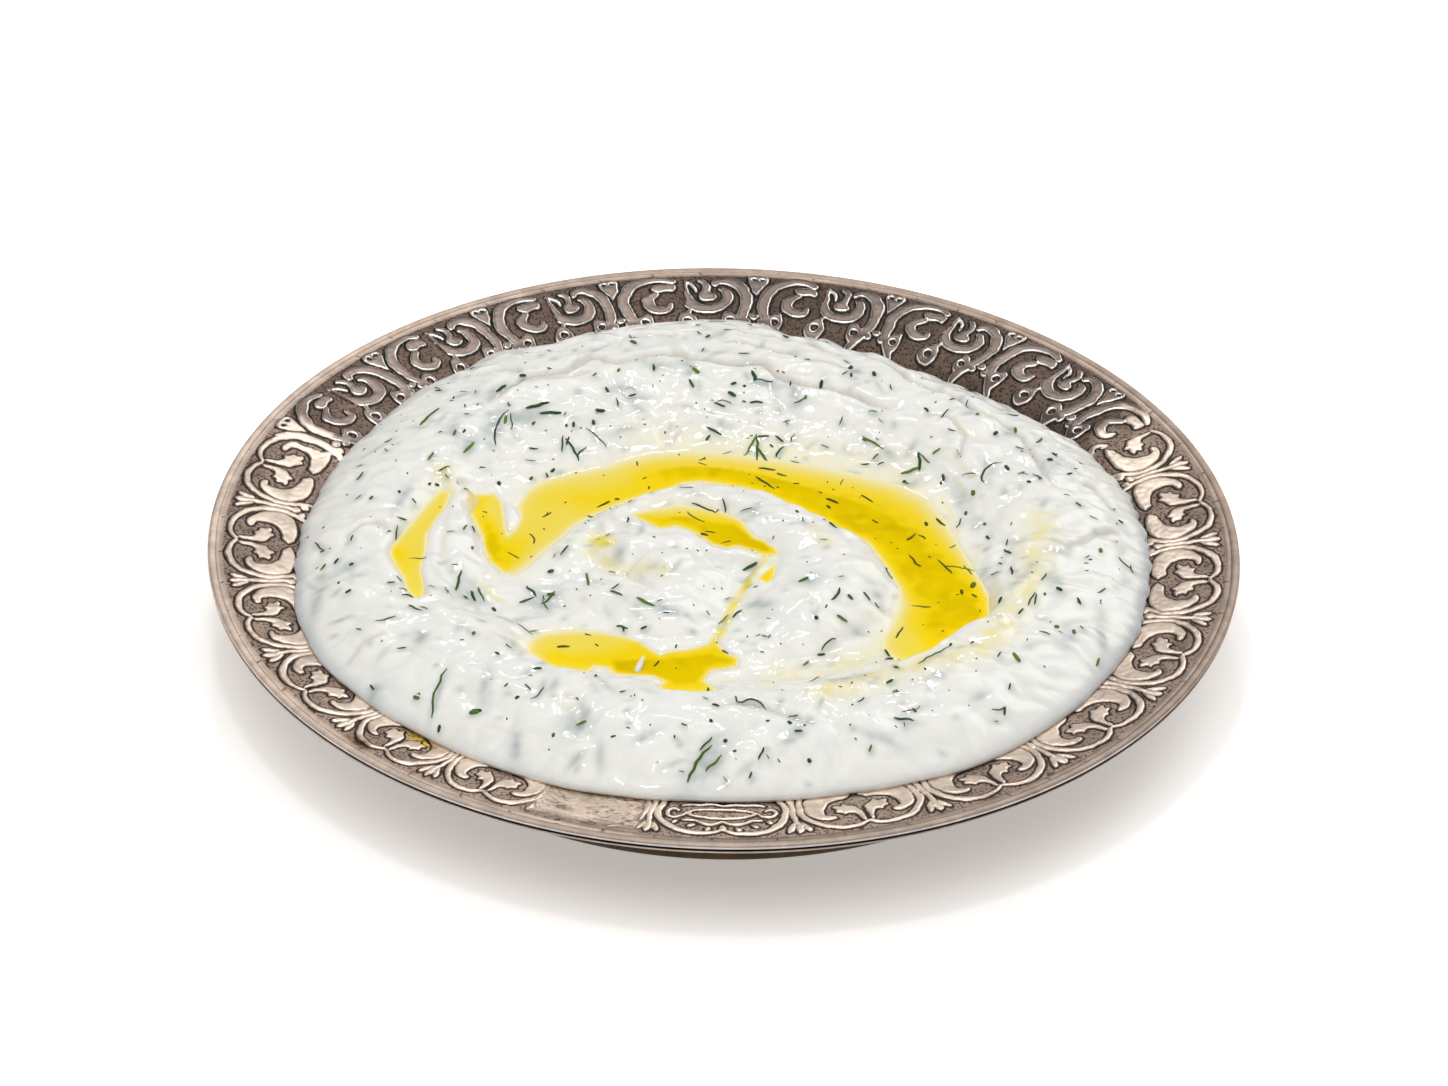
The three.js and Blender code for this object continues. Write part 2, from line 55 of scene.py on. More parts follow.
def soften(line, rounds=2):
    """Cuts the corners off an open line of points, again and again."""
    line = np.asarray(line, float)
    for _ in range(rounds):
        near, far = line[:-1] * 0.75 + line[1:] * 0.25, line[:-1] * 0.25 + line[1:] * 0.75
        line = np.vstack([line[:1], np.stack([near, far], 1).reshape(-1, line.shape[1]), line[-1:]])
    return line


def only(piece):
    """Selects one piece and nothing else."""
    bpy.ops.object.select_all(action="DESELECT")
    piece.select_set(True)
    bpy.context.view_layer.objects.active = piece


def places_of(piece):
    """Where the points of the piece's mesh are, in mm."""
    spots = np.empty(len(piece.data.vertices) * 3)
    piece.data.vertices.foreach_get("co", spots)
    return spots.reshape(-1, 3) / MM


def move_to(piece, spots):
    piece.data.vertices.foreach_set("co", (spots * MM).ravel())
    piece.data.update()


def paint(piece, name, amounts):
    """Stores a number or a colour for each point of the piece's surface."""
    amounts = np.asarray(amounts, float)
    if amounts.ndim == 1:
        layer = piece.data.attributes.new(name, "FLOAT", "POINT")
        layer.data.foreach_set("value", amounts)
    else:
        layer = piece.data.attributes.new(name, "FLOAT_COLOR", "POINT")
        layer.data.foreach_set("color", np.column_stack([amounts, np.ones(len(amounts))]).ravel())


def ease(low, high, amounts):
    """0 at low, 1 at high, and a smooth rise between them."""
    t = np.clip((amounts - low) / (high - low), 0, 1)
    return t * t * (3 - 2 * t)


def drift(x, y, seed):
    """Soft seeded noise, about -1 to 1, that changes over a distance of about 1."""
    turn = np.random.default_rng(seed).random((97, 89)) * 2 * math.pi
    i, j = np.floor(x).astype(int), np.floor(y).astype(int)
    fx, fy = x - i, y - j
    wx, wy = [f**3 * (f * (f * 6 - 15) + 10) for f in (fx, fy)]
    corner = {}
    for a in (0, 1):
        for b in (0, 1):
            lean = turn[(i + a) % 97, (j + b) % 89]
            corner[a, b] = np.cos(lean) * (fx - a) + np.sin(lean) * (fy - b)
    low = corner[0, 0] * (1 - wx) + corner[1, 0] * wx
    high = corner[0, 1] * (1 - wx) + corner[1, 1] * wx
    return 1.5 * (low * (1 - wy) + high * wy)


well_line = soften([
    (0, 4.4), (66, 4.5), (70.6, 5.5), (74.2, 8.8), (77.2, 13.6), (80.2, 18.15), (82.6, 19.75),
    (86, 20.25), (95.4, 21.65), (98.3, 21.65),
])


def dish_height(radius):
    """Height of the dish's upper face in mm, under its ornament."""
    return np.interp(radius, well_line[:, 0], well_line[:, 1])


foot_and_wall = soften([
    (0, 3.2), (71.3, 3.2), (71.9, 2.6), (72.3, 0), (75.2, 0), (75.5, 3), (76.8, 8), (79.3, 13.4),
    (83.4, 18.2), (89, 19.5), (95.4, 20.35), (98.6, 20.3),
])
rolled_edge = soften([
    (98.9, 20.1), (99.5, 19.98), (99.82, 20.15), (99.78, 20.4), (99.35, 20.48), (99.3, 20.86),
    (99.75, 20.92), (100, 21.2), (99.95, 21.65), (99.6, 21.95), (99.1, 22), (98.6, 21.85),
    (98.3, 21.55), (98.25, 20.9),
])
# under the embossed strips the shell's face lies lower, so that they sit in it
strip_reach = np.array([96, 90, 84, 82, 80, 78.4, 77.4, 76.6])
strip_bed = dish_height(strip_reach) - [0.6, 0.6, 0.6, 0.6, 0.7, 0.8, 0.8, 0]
floor_line = well_line[well_line[:, 0] < 76.4][::-1]
section = np.vstack([foot_and_wall, rolled_edge, np.column_stack([strip_reach, strip_bed]), floor_line])

shell_mesh = bpy.data.meshes.new("dish_shell")
corners = [(radius * MM, 0, height * MM) for radius, height in section]
shell_mesh.from_pydata(corners, [(i, i + 1) for i in range(len(corners) - 1)], [])
shell = bpy.data.objects.new("dish_shell", shell_mesh)
bpy.context.collection.objects.link(shell)
only(shell)
bpy.ops.object.mode_set(mode="EDIT")
bpy.ops.mesh.select_all(action="SELECT")
bpy.ops.mesh.spin(steps=300, angle=2 * math.pi, center=(0, 0, 0), axis=(0, 0, 1))
bpy.ops.mesh.select_all(action="SELECT")
bpy.ops.mesh.remove_doubles(threshold=1e-6)
bpy.ops.mesh.normals_make_consistent(inside=False)
bpy.ops.object.mode_set(mode="OBJECT")
bpy.ops.object.shade_smooth_by_angle(angle=math.radians(40))

bead_highlight_silver = linear(196, 189, 187)
groove_shade = linear(30, 27, 25)
lower_lip = linear(190, 176, 160)
brown_wall = linear(104, 88, 73)
brown_foot = linear(92, 76, 62)
worn_silver = linear(196, 181, 168)
side_edge = linear(188, 169, 154)
painted_lit_bead = linear(226, 207, 192)

spots = places_of(shell)
reach = np.hypot(spots[:, 0], spots[:, 1])
turn = np.arctan2(spots[:, 0], spots[:, 1])
streak = drift(turn * 14, spots[:, 2] / 1.5, 5)
tone = np.multiply(worn_silver, 1 + 0.1 * streak[:, None])


def blend_in(base, colour, share):
    """Blends a colour over the base, each point by its own share of it."""
    base = np.asarray(base)
    return base + (np.asarray(colour) - base) * np.clip(share, 0, 1)[:, None]


beneath = (reach > 73) & (spots[:, 2] < 20.4)
on_edge = reach > 98.3
on_bead = on_edge & (spots[:, 2] > 20.9)
tone = blend_in(tone, brown_wall, beneath)
# the wall under the rim is painted darker towards the floor
tone = blend_in(tone, brown_foot, beneath * ease(14, 2, spots[:, 2]) * 0.8)
tone = blend_in(tone, lower_lip, (reach > 99) & (spots[:, 2] < 20.42))
# painted shade: a dark line in the groove under the bead
tone = blend_in(tone, groove_shade, ease(0.3, 0.2, np.abs(spots[:, 2] - 20.68)) * (reach > 99))
# painted light: the bead's outer face is painted as a bright silver highlight in front, and paler towards
# the left elsewhere
tone = blend_in(tone, bead_highlight_silver, on_bead)
front_bead_highlight = ease(1.95, 2.4, np.abs(turn)) * ease(21.8, 21.55, spots[:, 2])
bead_tone = blend_in(side_edge, painted_lit_bead, ease(0.2, 0.9, -np.sin(turn)))
tone = blend_in(tone, bead_tone, on_bead * (1 - front_bead_highlight))
paint(shell, "tone", np.clip(tone, 0, 1))
paint(shell, "polish", np.where(on_edge, 0.1 + 0.65 * front_bead_highlight, 0.35))
paint(shell, "form_depth", np.full(len(spots), -3))  # far outside any scroll


def nodes_for(name, settings):
    """A new material, its nodes and links, and its principled shader with these settings."""
    material = bpy.data.materials.new(name)
    material.use_nodes = True
    nodes, links = material.node_tree.nodes, material.node_tree.links
    shader = nodes["Principled BSDF"]
    for socket, value in settings.items():
        shader.inputs[socket].default_value = value
    return material, nodes, links, shader


def painted(nodes, name, kind="Color"):
    """What is painted on the surface under this name, as a colour, or with Fac as an amount."""
    node = nodes.new("ShaderNodeAttribute")
    node.attribute_name = name
    return node.outputs[kind]


def pattern(nodes, links, kind, settings):
    """A texture through the piece's own space, such as noise."""
    node = nodes.new("ShaderNodeTex" + kind)
    for socket, value in settings.items():
        node.inputs[socket].default_value = value
    links.new(nodes.new("ShaderNodeTexCoord").outputs["Object"], node.inputs["Vector"])
    return node


def grain_on(nodes, links, shader, height, strength, distance):
    """Bumps the shader's surface by a pattern's height, over a distance in metres."""
    bump = nodes.new("ShaderNodeBump")
    bump.inputs["Strength"].default_value = strength
    bump.inputs["Distance"].default_value = distance
    links.new(height, bump.inputs["Height"])
    links.new(bump.outputs["Normal"], shader.inputs["Normal"])


def as_share(nodes, links, amount, low, high, to_low=0, to_high=1):
    """Turns the amounts between low and high softly into other amounts."""
    step = nodes.new("ShaderNodeMapRange")
    step.interpolation_type = "SMOOTHSTEP"
    for name, value in [("From Min", low), ("From Max", high), ("To Min", to_low), ("To Max", to_high)]:
        step.inputs[name].default_value = value
    links.new(amount, step.inputs["Value"])
    return step.outputs["Result"]


def sums(nodes, links, operation, first, second):
    """Adds, subtracts or multiplies two amounts, each from a node or a plain number."""
    step = nodes.new("ShaderNodeMath")
    step.operation = operation
    for socket, amount in zip(step.inputs, (first, second)):
        if isinstance(amount, (int, float)):
            socket.default_value = amount
        else:
            links.new(amount, socket)
    return step.outputs["Value"]


def times(nodes, links, first, second):
    return sums(nodes, links, "MULTIPLY", first, second)


def tint(nodes, links, share, base, colour):
    """Blends a colour over the base, by a share that the nodes give."""
    blend = nodes.new("ShaderNodeMix")
    blend.data_type = "RGBA"
    links.new(share, blend.inputs[0])
    links.new(base, blend.inputs[6])
    if isinstance(colour, tuple):
        blend.inputs[7].default_value = (*colour, 1)
    else:
        links.new(colour, blend.inputs[7])
    return blend.outputs[2]


def near(nodes, links, amount, middle, solid, faded):
    """1 where the amount is within 'solid' of the middle, 0 where it is more than 'faded' from it."""
    off = sums(nodes, links, "ABSOLUTE", sums(nodes, links, "SUBTRACT", amount, middle), 0)
    return as_share(nodes, links, off, solid, faded, 1, 0)


glint_silver = linear(255, 250, 244)
groove_black = linear(36, 29, 25)

aged_metal, nodes, links, shader = nodes_for("aged_metal", {"Metallic": 0.82, "IOR": 1.6})
form_depth = painted(nodes, "form_depth", "Fac")
inked = painted(nodes, "inked", "Fac")
on_form = times(nodes, links, as_share(nodes, links, form_depth, -0.12, 0.1), inked)
colour = tint(nodes, links, on_form, painted(nodes, "tone"), painted(nodes, "form_tone"))
# painted highlight: a bright line just inside each form's edge where the rim is painted dark, for its
# glints
painted_edge_glint = near(nodes, links, form_depth, 0.17, 0.06, 0.17)
painted_edge_glint = times(nodes, links, painted_edge_glint, painted(nodes, "dark", "Fac"))
colour = tint(nodes, links, times(nodes, links, painted_edge_glint, 0.95), colour, glint_silver)
dark_line = times(nodes, links, near(nodes, links, form_depth, -0.16, 0.14, 0.34), inked)
colour = tint(nodes, links, times(nodes, links, dark_line, 0.92), colour, groove_black)

# stippling on the ground between the forms, and clouds of tarnish over all
stippling = pattern(nodes, links, "Voronoi", {"Scale": 1500})
pitted = as_share(nodes, links, stippling.outputs["Distance"], 0.1, 0.6, 0.35, 1.9)
off_form = times(nodes, links, sums(nodes, links, "SUBTRACT", 1, on_form), inked)
pitted = times(nodes, links, sums(nodes, links, "SUBTRACT", pitted, 1), off_form)
pitted = sums(nodes, links, "ADD", 1, pitted)
tarnish = pattern(nodes, links, "Noise", {"Scale": 260, "Detail": 5, "Roughness": 0.62})
clouding = as_share(nodes, links, tarnish.outputs["Fac"], 0.3, 0.7, 0.82, 1.12)
tinted = nodes.new("ShaderNodeVectorMath")
tinted.operation = "SCALE"
links.new(colour, tinted.inputs[0])
links.new(times(nodes, links, pitted, clouding), tinted.inputs["Scale"])
links.new(tinted.outputs["Vector"], shader.inputs["Base Color"])
polish = painted(nodes, "polish", "Fac")
links.new(as_share(nodes, links, polish, 0, 1, 0.62, 0.3), shader.inputs["Roughness"])
metal_grain = pattern(nodes, links, "Noise", {"Scale": 2600, "Detail": 2})
grain_on(nodes, links, shader, metal_grain.outputs["Fac"], 0.25, 0.0001)

shell.data.materials.append(aged_metal)
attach(shell, "root")

# ------------------------------------------------------------------ the embossed rim
# The rim's band is stamped with a ring of scrolls on a stippled ground. At the sides and in front each
# one has a curled border, a polished crescent and a lobed leaf. At the back there are thick straps and
# drops with an eye under them, painted darker as painted shade and with painted highlights along their
# edges. A plain cartouche sits in front.

HALF_SCROLL = 12.7  # mm from a scroll's axis to its joints
# Where one scroll joins the next: degrees clockwise from the back.
scroll_joints = np.array([
    3.5, 20.8, 37.5, 54.5, 71, 87.3, 103.8, 120.3, 137.8, 154.6, 171, 188, 200.5, 214.5, 228, 244.3,
    260, 277, 293.8, 311.5, 328, 345, 363.5,
])
CARTOUCHE = 171  # degrees at which the cartouche begins
DARK_REACH = 66  # degrees to each side of the back at which the dark scrolls end
PLAIN_EDGE = 96.95  # mm, radius at which the plain band begins

# Half of each form, drawn flat: mm from the scroll's axis, radius on the dish, and a strap's width.
pale_border = soften([
    (0.3, 94.5, 0.9), (2.2, 95.8, 1.1), (4.7, 96, 1.3), (7.2, 95.3, 1.4), (9.4, 93.4, 1.4),
    (10.9, 91, 1.4), (11.6, 87.9, 1.3), (11.2, 85.1, 1.3), (10, 82.8, 1.2), (9.2, 80, 0.9),
])
crescent_leaf = [
    (5, 92.3), (6.2, 92.9), (7.8, 92.6), (9.4, 91.3), (10.6, 89.1), (10.8, 86.6), (10, 84.4),
    (7.8, 83.2), (4.7, 82.9), (2.2, 83.2), (0.35, 84.1), (1.25, 84.9), (1.9, 85.7), (3.4, 85.7),
    (5.3, 86.3), (6.6, 87.6), (7.2, 89.1), (6.9, 91), (5.9, 91.3), (5.1, 91.5),
]
lobed_leaf = [
    (0.35, 94.4), (1.3, 94), (1.5, 92.2), (2, 91.2), (2.9, 90.9), (3.5, 91.5), (4, 90.3), (5.3, 90.1),
    (4.7, 89), (5.7, 88.1), (4.3, 87.6), (3.7, 88.2), (2.9, 86.9), (2.2, 88), (1.5, 88.4), (0.4, 89.3),
]
right_border = soften([
    (5.4, 93.8, 1.2), (5.9, 94.9, 1.9), (7.8, 95, 2.3), (9.7, 93.5, 2.3), (10.9, 91, 2.3),
    (11.2, 87.6, 2.2), (10.7, 84.4, 2.1), (9.5, 81.8, 1.9), (7.8, 79.8, 1.3),
])
left_border = soften([
    (2, 95, 1.4), (3.6, 96, 1.9), (6.4, 95.9, 2.2), (9, 94.3, 2.3), (10.8, 91.4, 2.3),
    (11.2, 87.8, 2.3), (10.7, 84.4, 2.1), (9.5, 81.8, 1.9), (7.8, 79.8, 1.3),
])
deep_curl = soften([
    (0.2, 94.8, 1.2), (-0.2, 91.4, 2.2), (0.6, 88.2, 2.5), (2.6, 86.3, 2.6), (5.2, 86.2, 2.6),
    (7.2, 87.7, 2.5), (7.7, 90.2, 2.1), (7.1, 91.9, 1.6), (6.3, 92.3, 1),
])
small_curl = soften([
    (5, 91.3, 1.5), (6.9, 89.6, 2.2), (6.6, 87.3, 2.4), (4.7, 86, 2.3), (3, 86.4, 1.7),
    (2.7, 87.8, 1.1),
])
thin_strap = soften([
    (-1.8, 95.6, 0.9), (0.6, 94.7, 0.9), (1.9, 93.2, 0.8), (2.2, 91.6, 0.6),
])
right_leaf = [
    (2.3, 94.9), (3.5, 93.8), (3.3, 91.8), (2.2, 90.6), (2.5, 88.9), (4, 88.5), (5.6, 89.2),
    (5.5, 90.5), (4.5, 91.3), (4.8, 93), (4.3, 95), (3.1, 95.6),
]
left_leaf = [
    (1.2, 94), (3.2, 94.4), (5.4, 94.2), (6, 92.8), (4.4, 91.4), (3, 92.2), (1.5, 91.6),
]
drop_stem = soften([(1.4, 87.4, 0.5), (0.8, 85.8, 0.9), (0.2, 84.4, 1.4)])
# each drop's tip and foot, both as mm aside and radius on the dish, its width, and the size of its eye
eyed_drops = [(0, 79.8, 0, 86.6, 5.4, 0.75), (9.4, 80, 7.2, 86.8, 5, 0.7)]


def closed(half, mirrored=False):
    """A closed outline with its corners softened. A mirrored one is drawn over the axis too."""
    ring = np.asarray(half, float)
    if mirrored:
        ring = np.vstack([ring, (ring * [-1, 1])[::-1]])
    for _ in range(2):
        after = np.roll(ring, -1, 0)
        ring = np.stack([ring * 0.75 + after * 0.25, ring * 0.25 + after * 0.75], 1).reshape(-1, 2)
    return ring


def depth_inside(outline, x, y):
    """How deep each place lies inside a closed outline, and minus its distance outside."""
    nearest = np.full(x.shape, 1e9)
    inside = np.zeros(x.shape, bool)
    for (ax, ay), (bx, by) in zip(outline, np.roll(outline, -1, 0)):
        dx, dy = bx - ax, by - ay
        along = np.clip(((x - ax) * dx + (y - ay) * dy) / (dx * dx + dy * dy + 1e-12), 0, 1)
        nearest = np.minimum(nearest, (x - ax - along * dx) ** 2 + (y - ay - along * dy) ** 2)
        if ay != by:
            inside ^= ((ay > y) != (by > y)) & (x < ax + dx * (y - ay) / (by - ay))
    return np.where(inside, 1, -1) * np.sqrt(nearest)


def along_line(x, y, line):
    """Nearest point on an open line: distance, side, share of the way, and what it carries there."""
    line = np.asarray(line, float)
    best = np.full(x.shape, 1e9)
    outwards = np.zeros(x.shape, bool)
    way = np.zeros(x.shape)
    for i in range(1, len(line)):
        (ax, ay), (bx, by) = line[i - 1][:2], line[i][:2]
        dx, dy = bx - ax, by - ay
        t = np.clip(((x - ax) * dx + (y - ay) * dy) / (dx * dx + dy * dy), 0, 1)
        distance = np.hypot(x - ax - t * dx, y - ay - t * dy)
        nearer = distance < best
        best = np.where(nearer, distance, best)
        outwards = np.where(nearer, dx * (y - ay) - dy * (x - ax) > 0, outwards)
        way = np.where(nearer, i - 1 + t, way)
    carried = [np.interp(way, np.arange(len(line)), line[:, k]) for k in range(2, line.shape[1])]
    return best, outwards, way / (len(line) - 1), carried


def depth_in_strap(line, x, y):
    """How deep each place lies inside a strap, whose width is the third number of its points."""
    distance, _, _, (width,) = along_line(x, y, line)
    return width / 2 - distance


def petal(tip_x, tip_y, foot_x, foot_y, width):
    """A leaf or drop that is widest near its tip."""
    tip, foot = np.array([tip_x, tip_y]), np.array([foot_x, foot_y])
    side = np.array([foot_y - tip_y, tip_x - foot_x]) * width / 2
    side = side / math.hypot(tip_x - foot_x, tip_y - foot_y)
    wide = tip * 0.68 + foot * 0.32
    return closed([foot, wide + side, tip, wide - side])


cartouche_curls = [
    soften([(6.2, 88.2, 0.6), (7.6, 90.2, 0.8), (9.4, 89.8, 0.8), (9.9, 88, 0.8), (8.9, 86.7, 0.8),
            (7.8, 87.5, 0.7)]),
    soften([(0, 91.5, 0.6), (1.6, 92.6, 0.8), (3.6, 92.2, 0.8), (5, 91, 0.7), (6.8, 91.3, 0.6)]),
    soften([(0, 85.2, 0.6), (2.2, 84.4, 0.8), (4.2, 85.1, 0.8), (6, 84.8, 0.7), (7.6, 85.6, 0.6)]),
]
cartouche_leaves = [
    (0, 95, 0, 92.2, 2), (3, 95.2, 2, 93, 1.3), (6.4, 93.8, 4.4, 92.3, 1.3),
    (8.8, 92.6, 7.4, 91.2, 1.2), (0, 82.4, 0, 84.4, 1.8),
]
palmette = [petal(0, 96.9, 0, 91.4, 2), petal(2.2, 96.5, 0.3, 91.8, 1.7)]
joint_stem = soften([(0, 93, 1.1), (0, 90, 1.2), (0, 87, 1.1), (0.1, 84, 1.1)])
trefoil = [(0, 84.3, 0.95), (1.5, 82.9, 0.9)]
dark_bud = closed([(0, 97.3), (1.6, 96.9), (2, 95.4), (1.4, 93.6), (0.6, 91.8), (0, 90.2)], True)


def pale_scroll(s, r):
    """Depth inside the forms of the pale scrolls: thin border, broad crescents, lobed leaf."""
    return np.max([
        depth_in_strap(pale_border, s, r), depth_inside(closed(crescent_leaf), s, r),
        depth_inside(closed(lobed_leaf), s, r), 0.5 - np.hypot(s - 5.7, r - 92.1),
    ], 0)


def dark_scroll(s, r, side):
    """Depth inside the forms of the dark scrolls: thick border, deep curl right, small curl left."""
    right = np.max([depth_in_strap(right_border, s, r), depth_in_strap(deep_curl, s, r),
                    depth_inside(closed(right_leaf), s, r), depth_in_strap(thin_strap, s, r)], 0)
    left = np.max([depth_in_strap(left_border, s, r), depth_in_strap(small_curl, s, r),
                   depth_inside(closed(left_leaf), s, r)], 0)
    depth = np.maximum(np.where(side > 0, right, left), depth_in_strap(drop_stem, s * side, r))
    for tip_x, tip_y, foot_x, foot_y, width, eye in eyed_drops:
        drop = depth_inside(petal(tip_x, tip_y, foot_x, foot_y, width), s, r)
        hole = np.hypot(s - (tip_x + foot_x) / 2, r - (tip_y + foot_y) / 2 + 0.4) - eye
        depth = np.minimum(np.maximum(depth, drop), hole)
    return depth


def cartouche(s, r):
    """The cartouche: pale border, oval frame round a plain field, and curls and small leaves."""
    out = r - 88.4
    q = np.maximum(np.hypot(s / 5.8, out / 1.8), 0.05)
    frame_line = 0.4 - np.abs(q - 1) * q / np.maximum(np.hypot(s / 5.8**2, out / 1.8**2), 1e-3)
    curls = [depth_in_strap(line, s, r) for line in cartouche_curls]
    leaves = [depth_inside(petal(*leaf), s, r) for leaf in cartouche_leaves]
    return np.max([depth_in_strap(pale_border, s, r), frame_line, *curls, *leaves], 0)


def joint_forms(j, r, dark):
    """Depth inside the palmette or the dark bud, the stem and the trefoil at a joint between scrolls."""
    pale = np.max([depth_inside(outline, j, r) for outline in palmette], 0)
    bud = np.minimum(depth_inside(dark_bud, j, r), np.hypot(j - 0.75, r - 95.5) - 0.42)
    forms = [np.where(dark, bud, np.maximum(pale, depth_in_strap(joint_stem, j, r)))]
    forms.extend(radius - np.hypot(j - x, r - y) for x, y, radius in trefoil)
    return np.max(forms, 0)


def scroll_relief(degrees, r):
    """Depth inside the rim's forms, and the painted shade of the back, at each place on it."""
    compass = (degrees - scroll_joints[0]) % 360 + scroll_joints[0]
    unit = np.clip(np.searchsorted(scroll_joints, compass, side="right") - 1, 0, len(scroll_joints) - 2)
    start, end = scroll_joints[unit], scroll_joints[unit + 1]
    s = HALF_SCROLL * (2 * compass - start - end) / (end - start)
    s = s + 0.38 * drift(compass / 5.5, r / 4.4, 31) + 0.16 * drift(compass / 1.3, r / 1.4, 32)
    r = r + 0.32 * drift(compass / 5, r / 4, 33) + 0.16 * drift(compass / 1.2, r / 1.3, 34)
    side = np.sign(s)
    s = np.abs(s)
    from_back = np.abs((compass + 180) % 360 - 180 + 3)
    # how much of the painted shade at the back each place gets
    dark = ease(DARK_REACH, DARK_REACH - 6, from_back + 2.5 * drift(compass / 4, r / 3, 35))
    depth = np.where(from_back < DARK_REACH, dark_scroll(s, r, side), pale_scroll(s, r))
    depth = np.where(start == CARTOUCHE, cartouche(s, r), depth)
    depth = np.maximum(depth, joint_forms(HALF_SCROLL - s, r, from_back < DARK_REACH))
    worn = ease(188, 190, compass) * ease(203, 199.5, compass)
    depth = np.where(worn > 0.5, np.minimum(depth, 1.2 * drift(compass / 2.5, r / 2.2, 36) - 0.75), depth)
    return np.minimum(depth, 97.4 - r), dark, worn, compass


def full_light(colours):
    """Brings colours that are brighter than full light down to it, with their hue kept."""
    return np.maximum(colours, 0.001) / np.maximum(colours.max(1), 1)[:, None]


metal_top = linear(240, 220, 203)
metal_ground = linear(124, 107, 96)
# painted shade: near the back the scrolls and ground are painted darker, for the dark their silver
# reflects there
back_shade_top = linear(108, 95, 87)
back_shade_ground = linear(72, 59, 51)
band_brown = linear(158, 139, 125)
band_pale = linear(238, 217, 201)
worn_patch = linear(236, 214, 196)
trace_brown = linear(84, 66, 54)
cut_brown = linear(52, 43, 37)

# Marks of use on the rim: degrees, radius, half length and half width in mm, strength, colour.
stains = [
    (224, 96.7, 2.4, 1.2, 1.1, linear(96, 70, 20)), (219.5, 87.1, 4.5, 1.3, 1, linear(176, 146, 50)),
    (164, 86.2, 9, 1.8, 0.4, linear(150, 150, 124)), (196, 87, 8, 2.6, 0.45, linear(160, 160, 134)),
    (198, 92.5, 2, 0.7, 0.7, linear(84, 70, 54)), (207, 94.5, 1.6, 0.8, 0.5, linear(84, 70, 54)),
]

# Painted light: how bright the rim's silver is painted round it: degrees, then the scrolls and the plain
# band.
painted_light_round = np.array([
    (0, 1.1, 0.88), (20, 1.08, 0.87), (45, 1.4, 0.97), (62, 0.98, 1.04), (80, 0.88, 0.76),
    (120, 0.95, 0.74), (135, 1.03, 0.6), (150, 0.94, 0.62), (165, 1.2, 0.46), (185, 1.37, 0.46),
    (195, 1.02, 0.76), (205, 1.25, 0.68), (225, 1.12, 0.82), (270, 0.94, 0.86), (288, 0.88, 0.9),
    (300, 1.85, 0.92), (330, 1.55, 1), (350, 1.45, 0.88), (360, 1.1, 0.88),
])

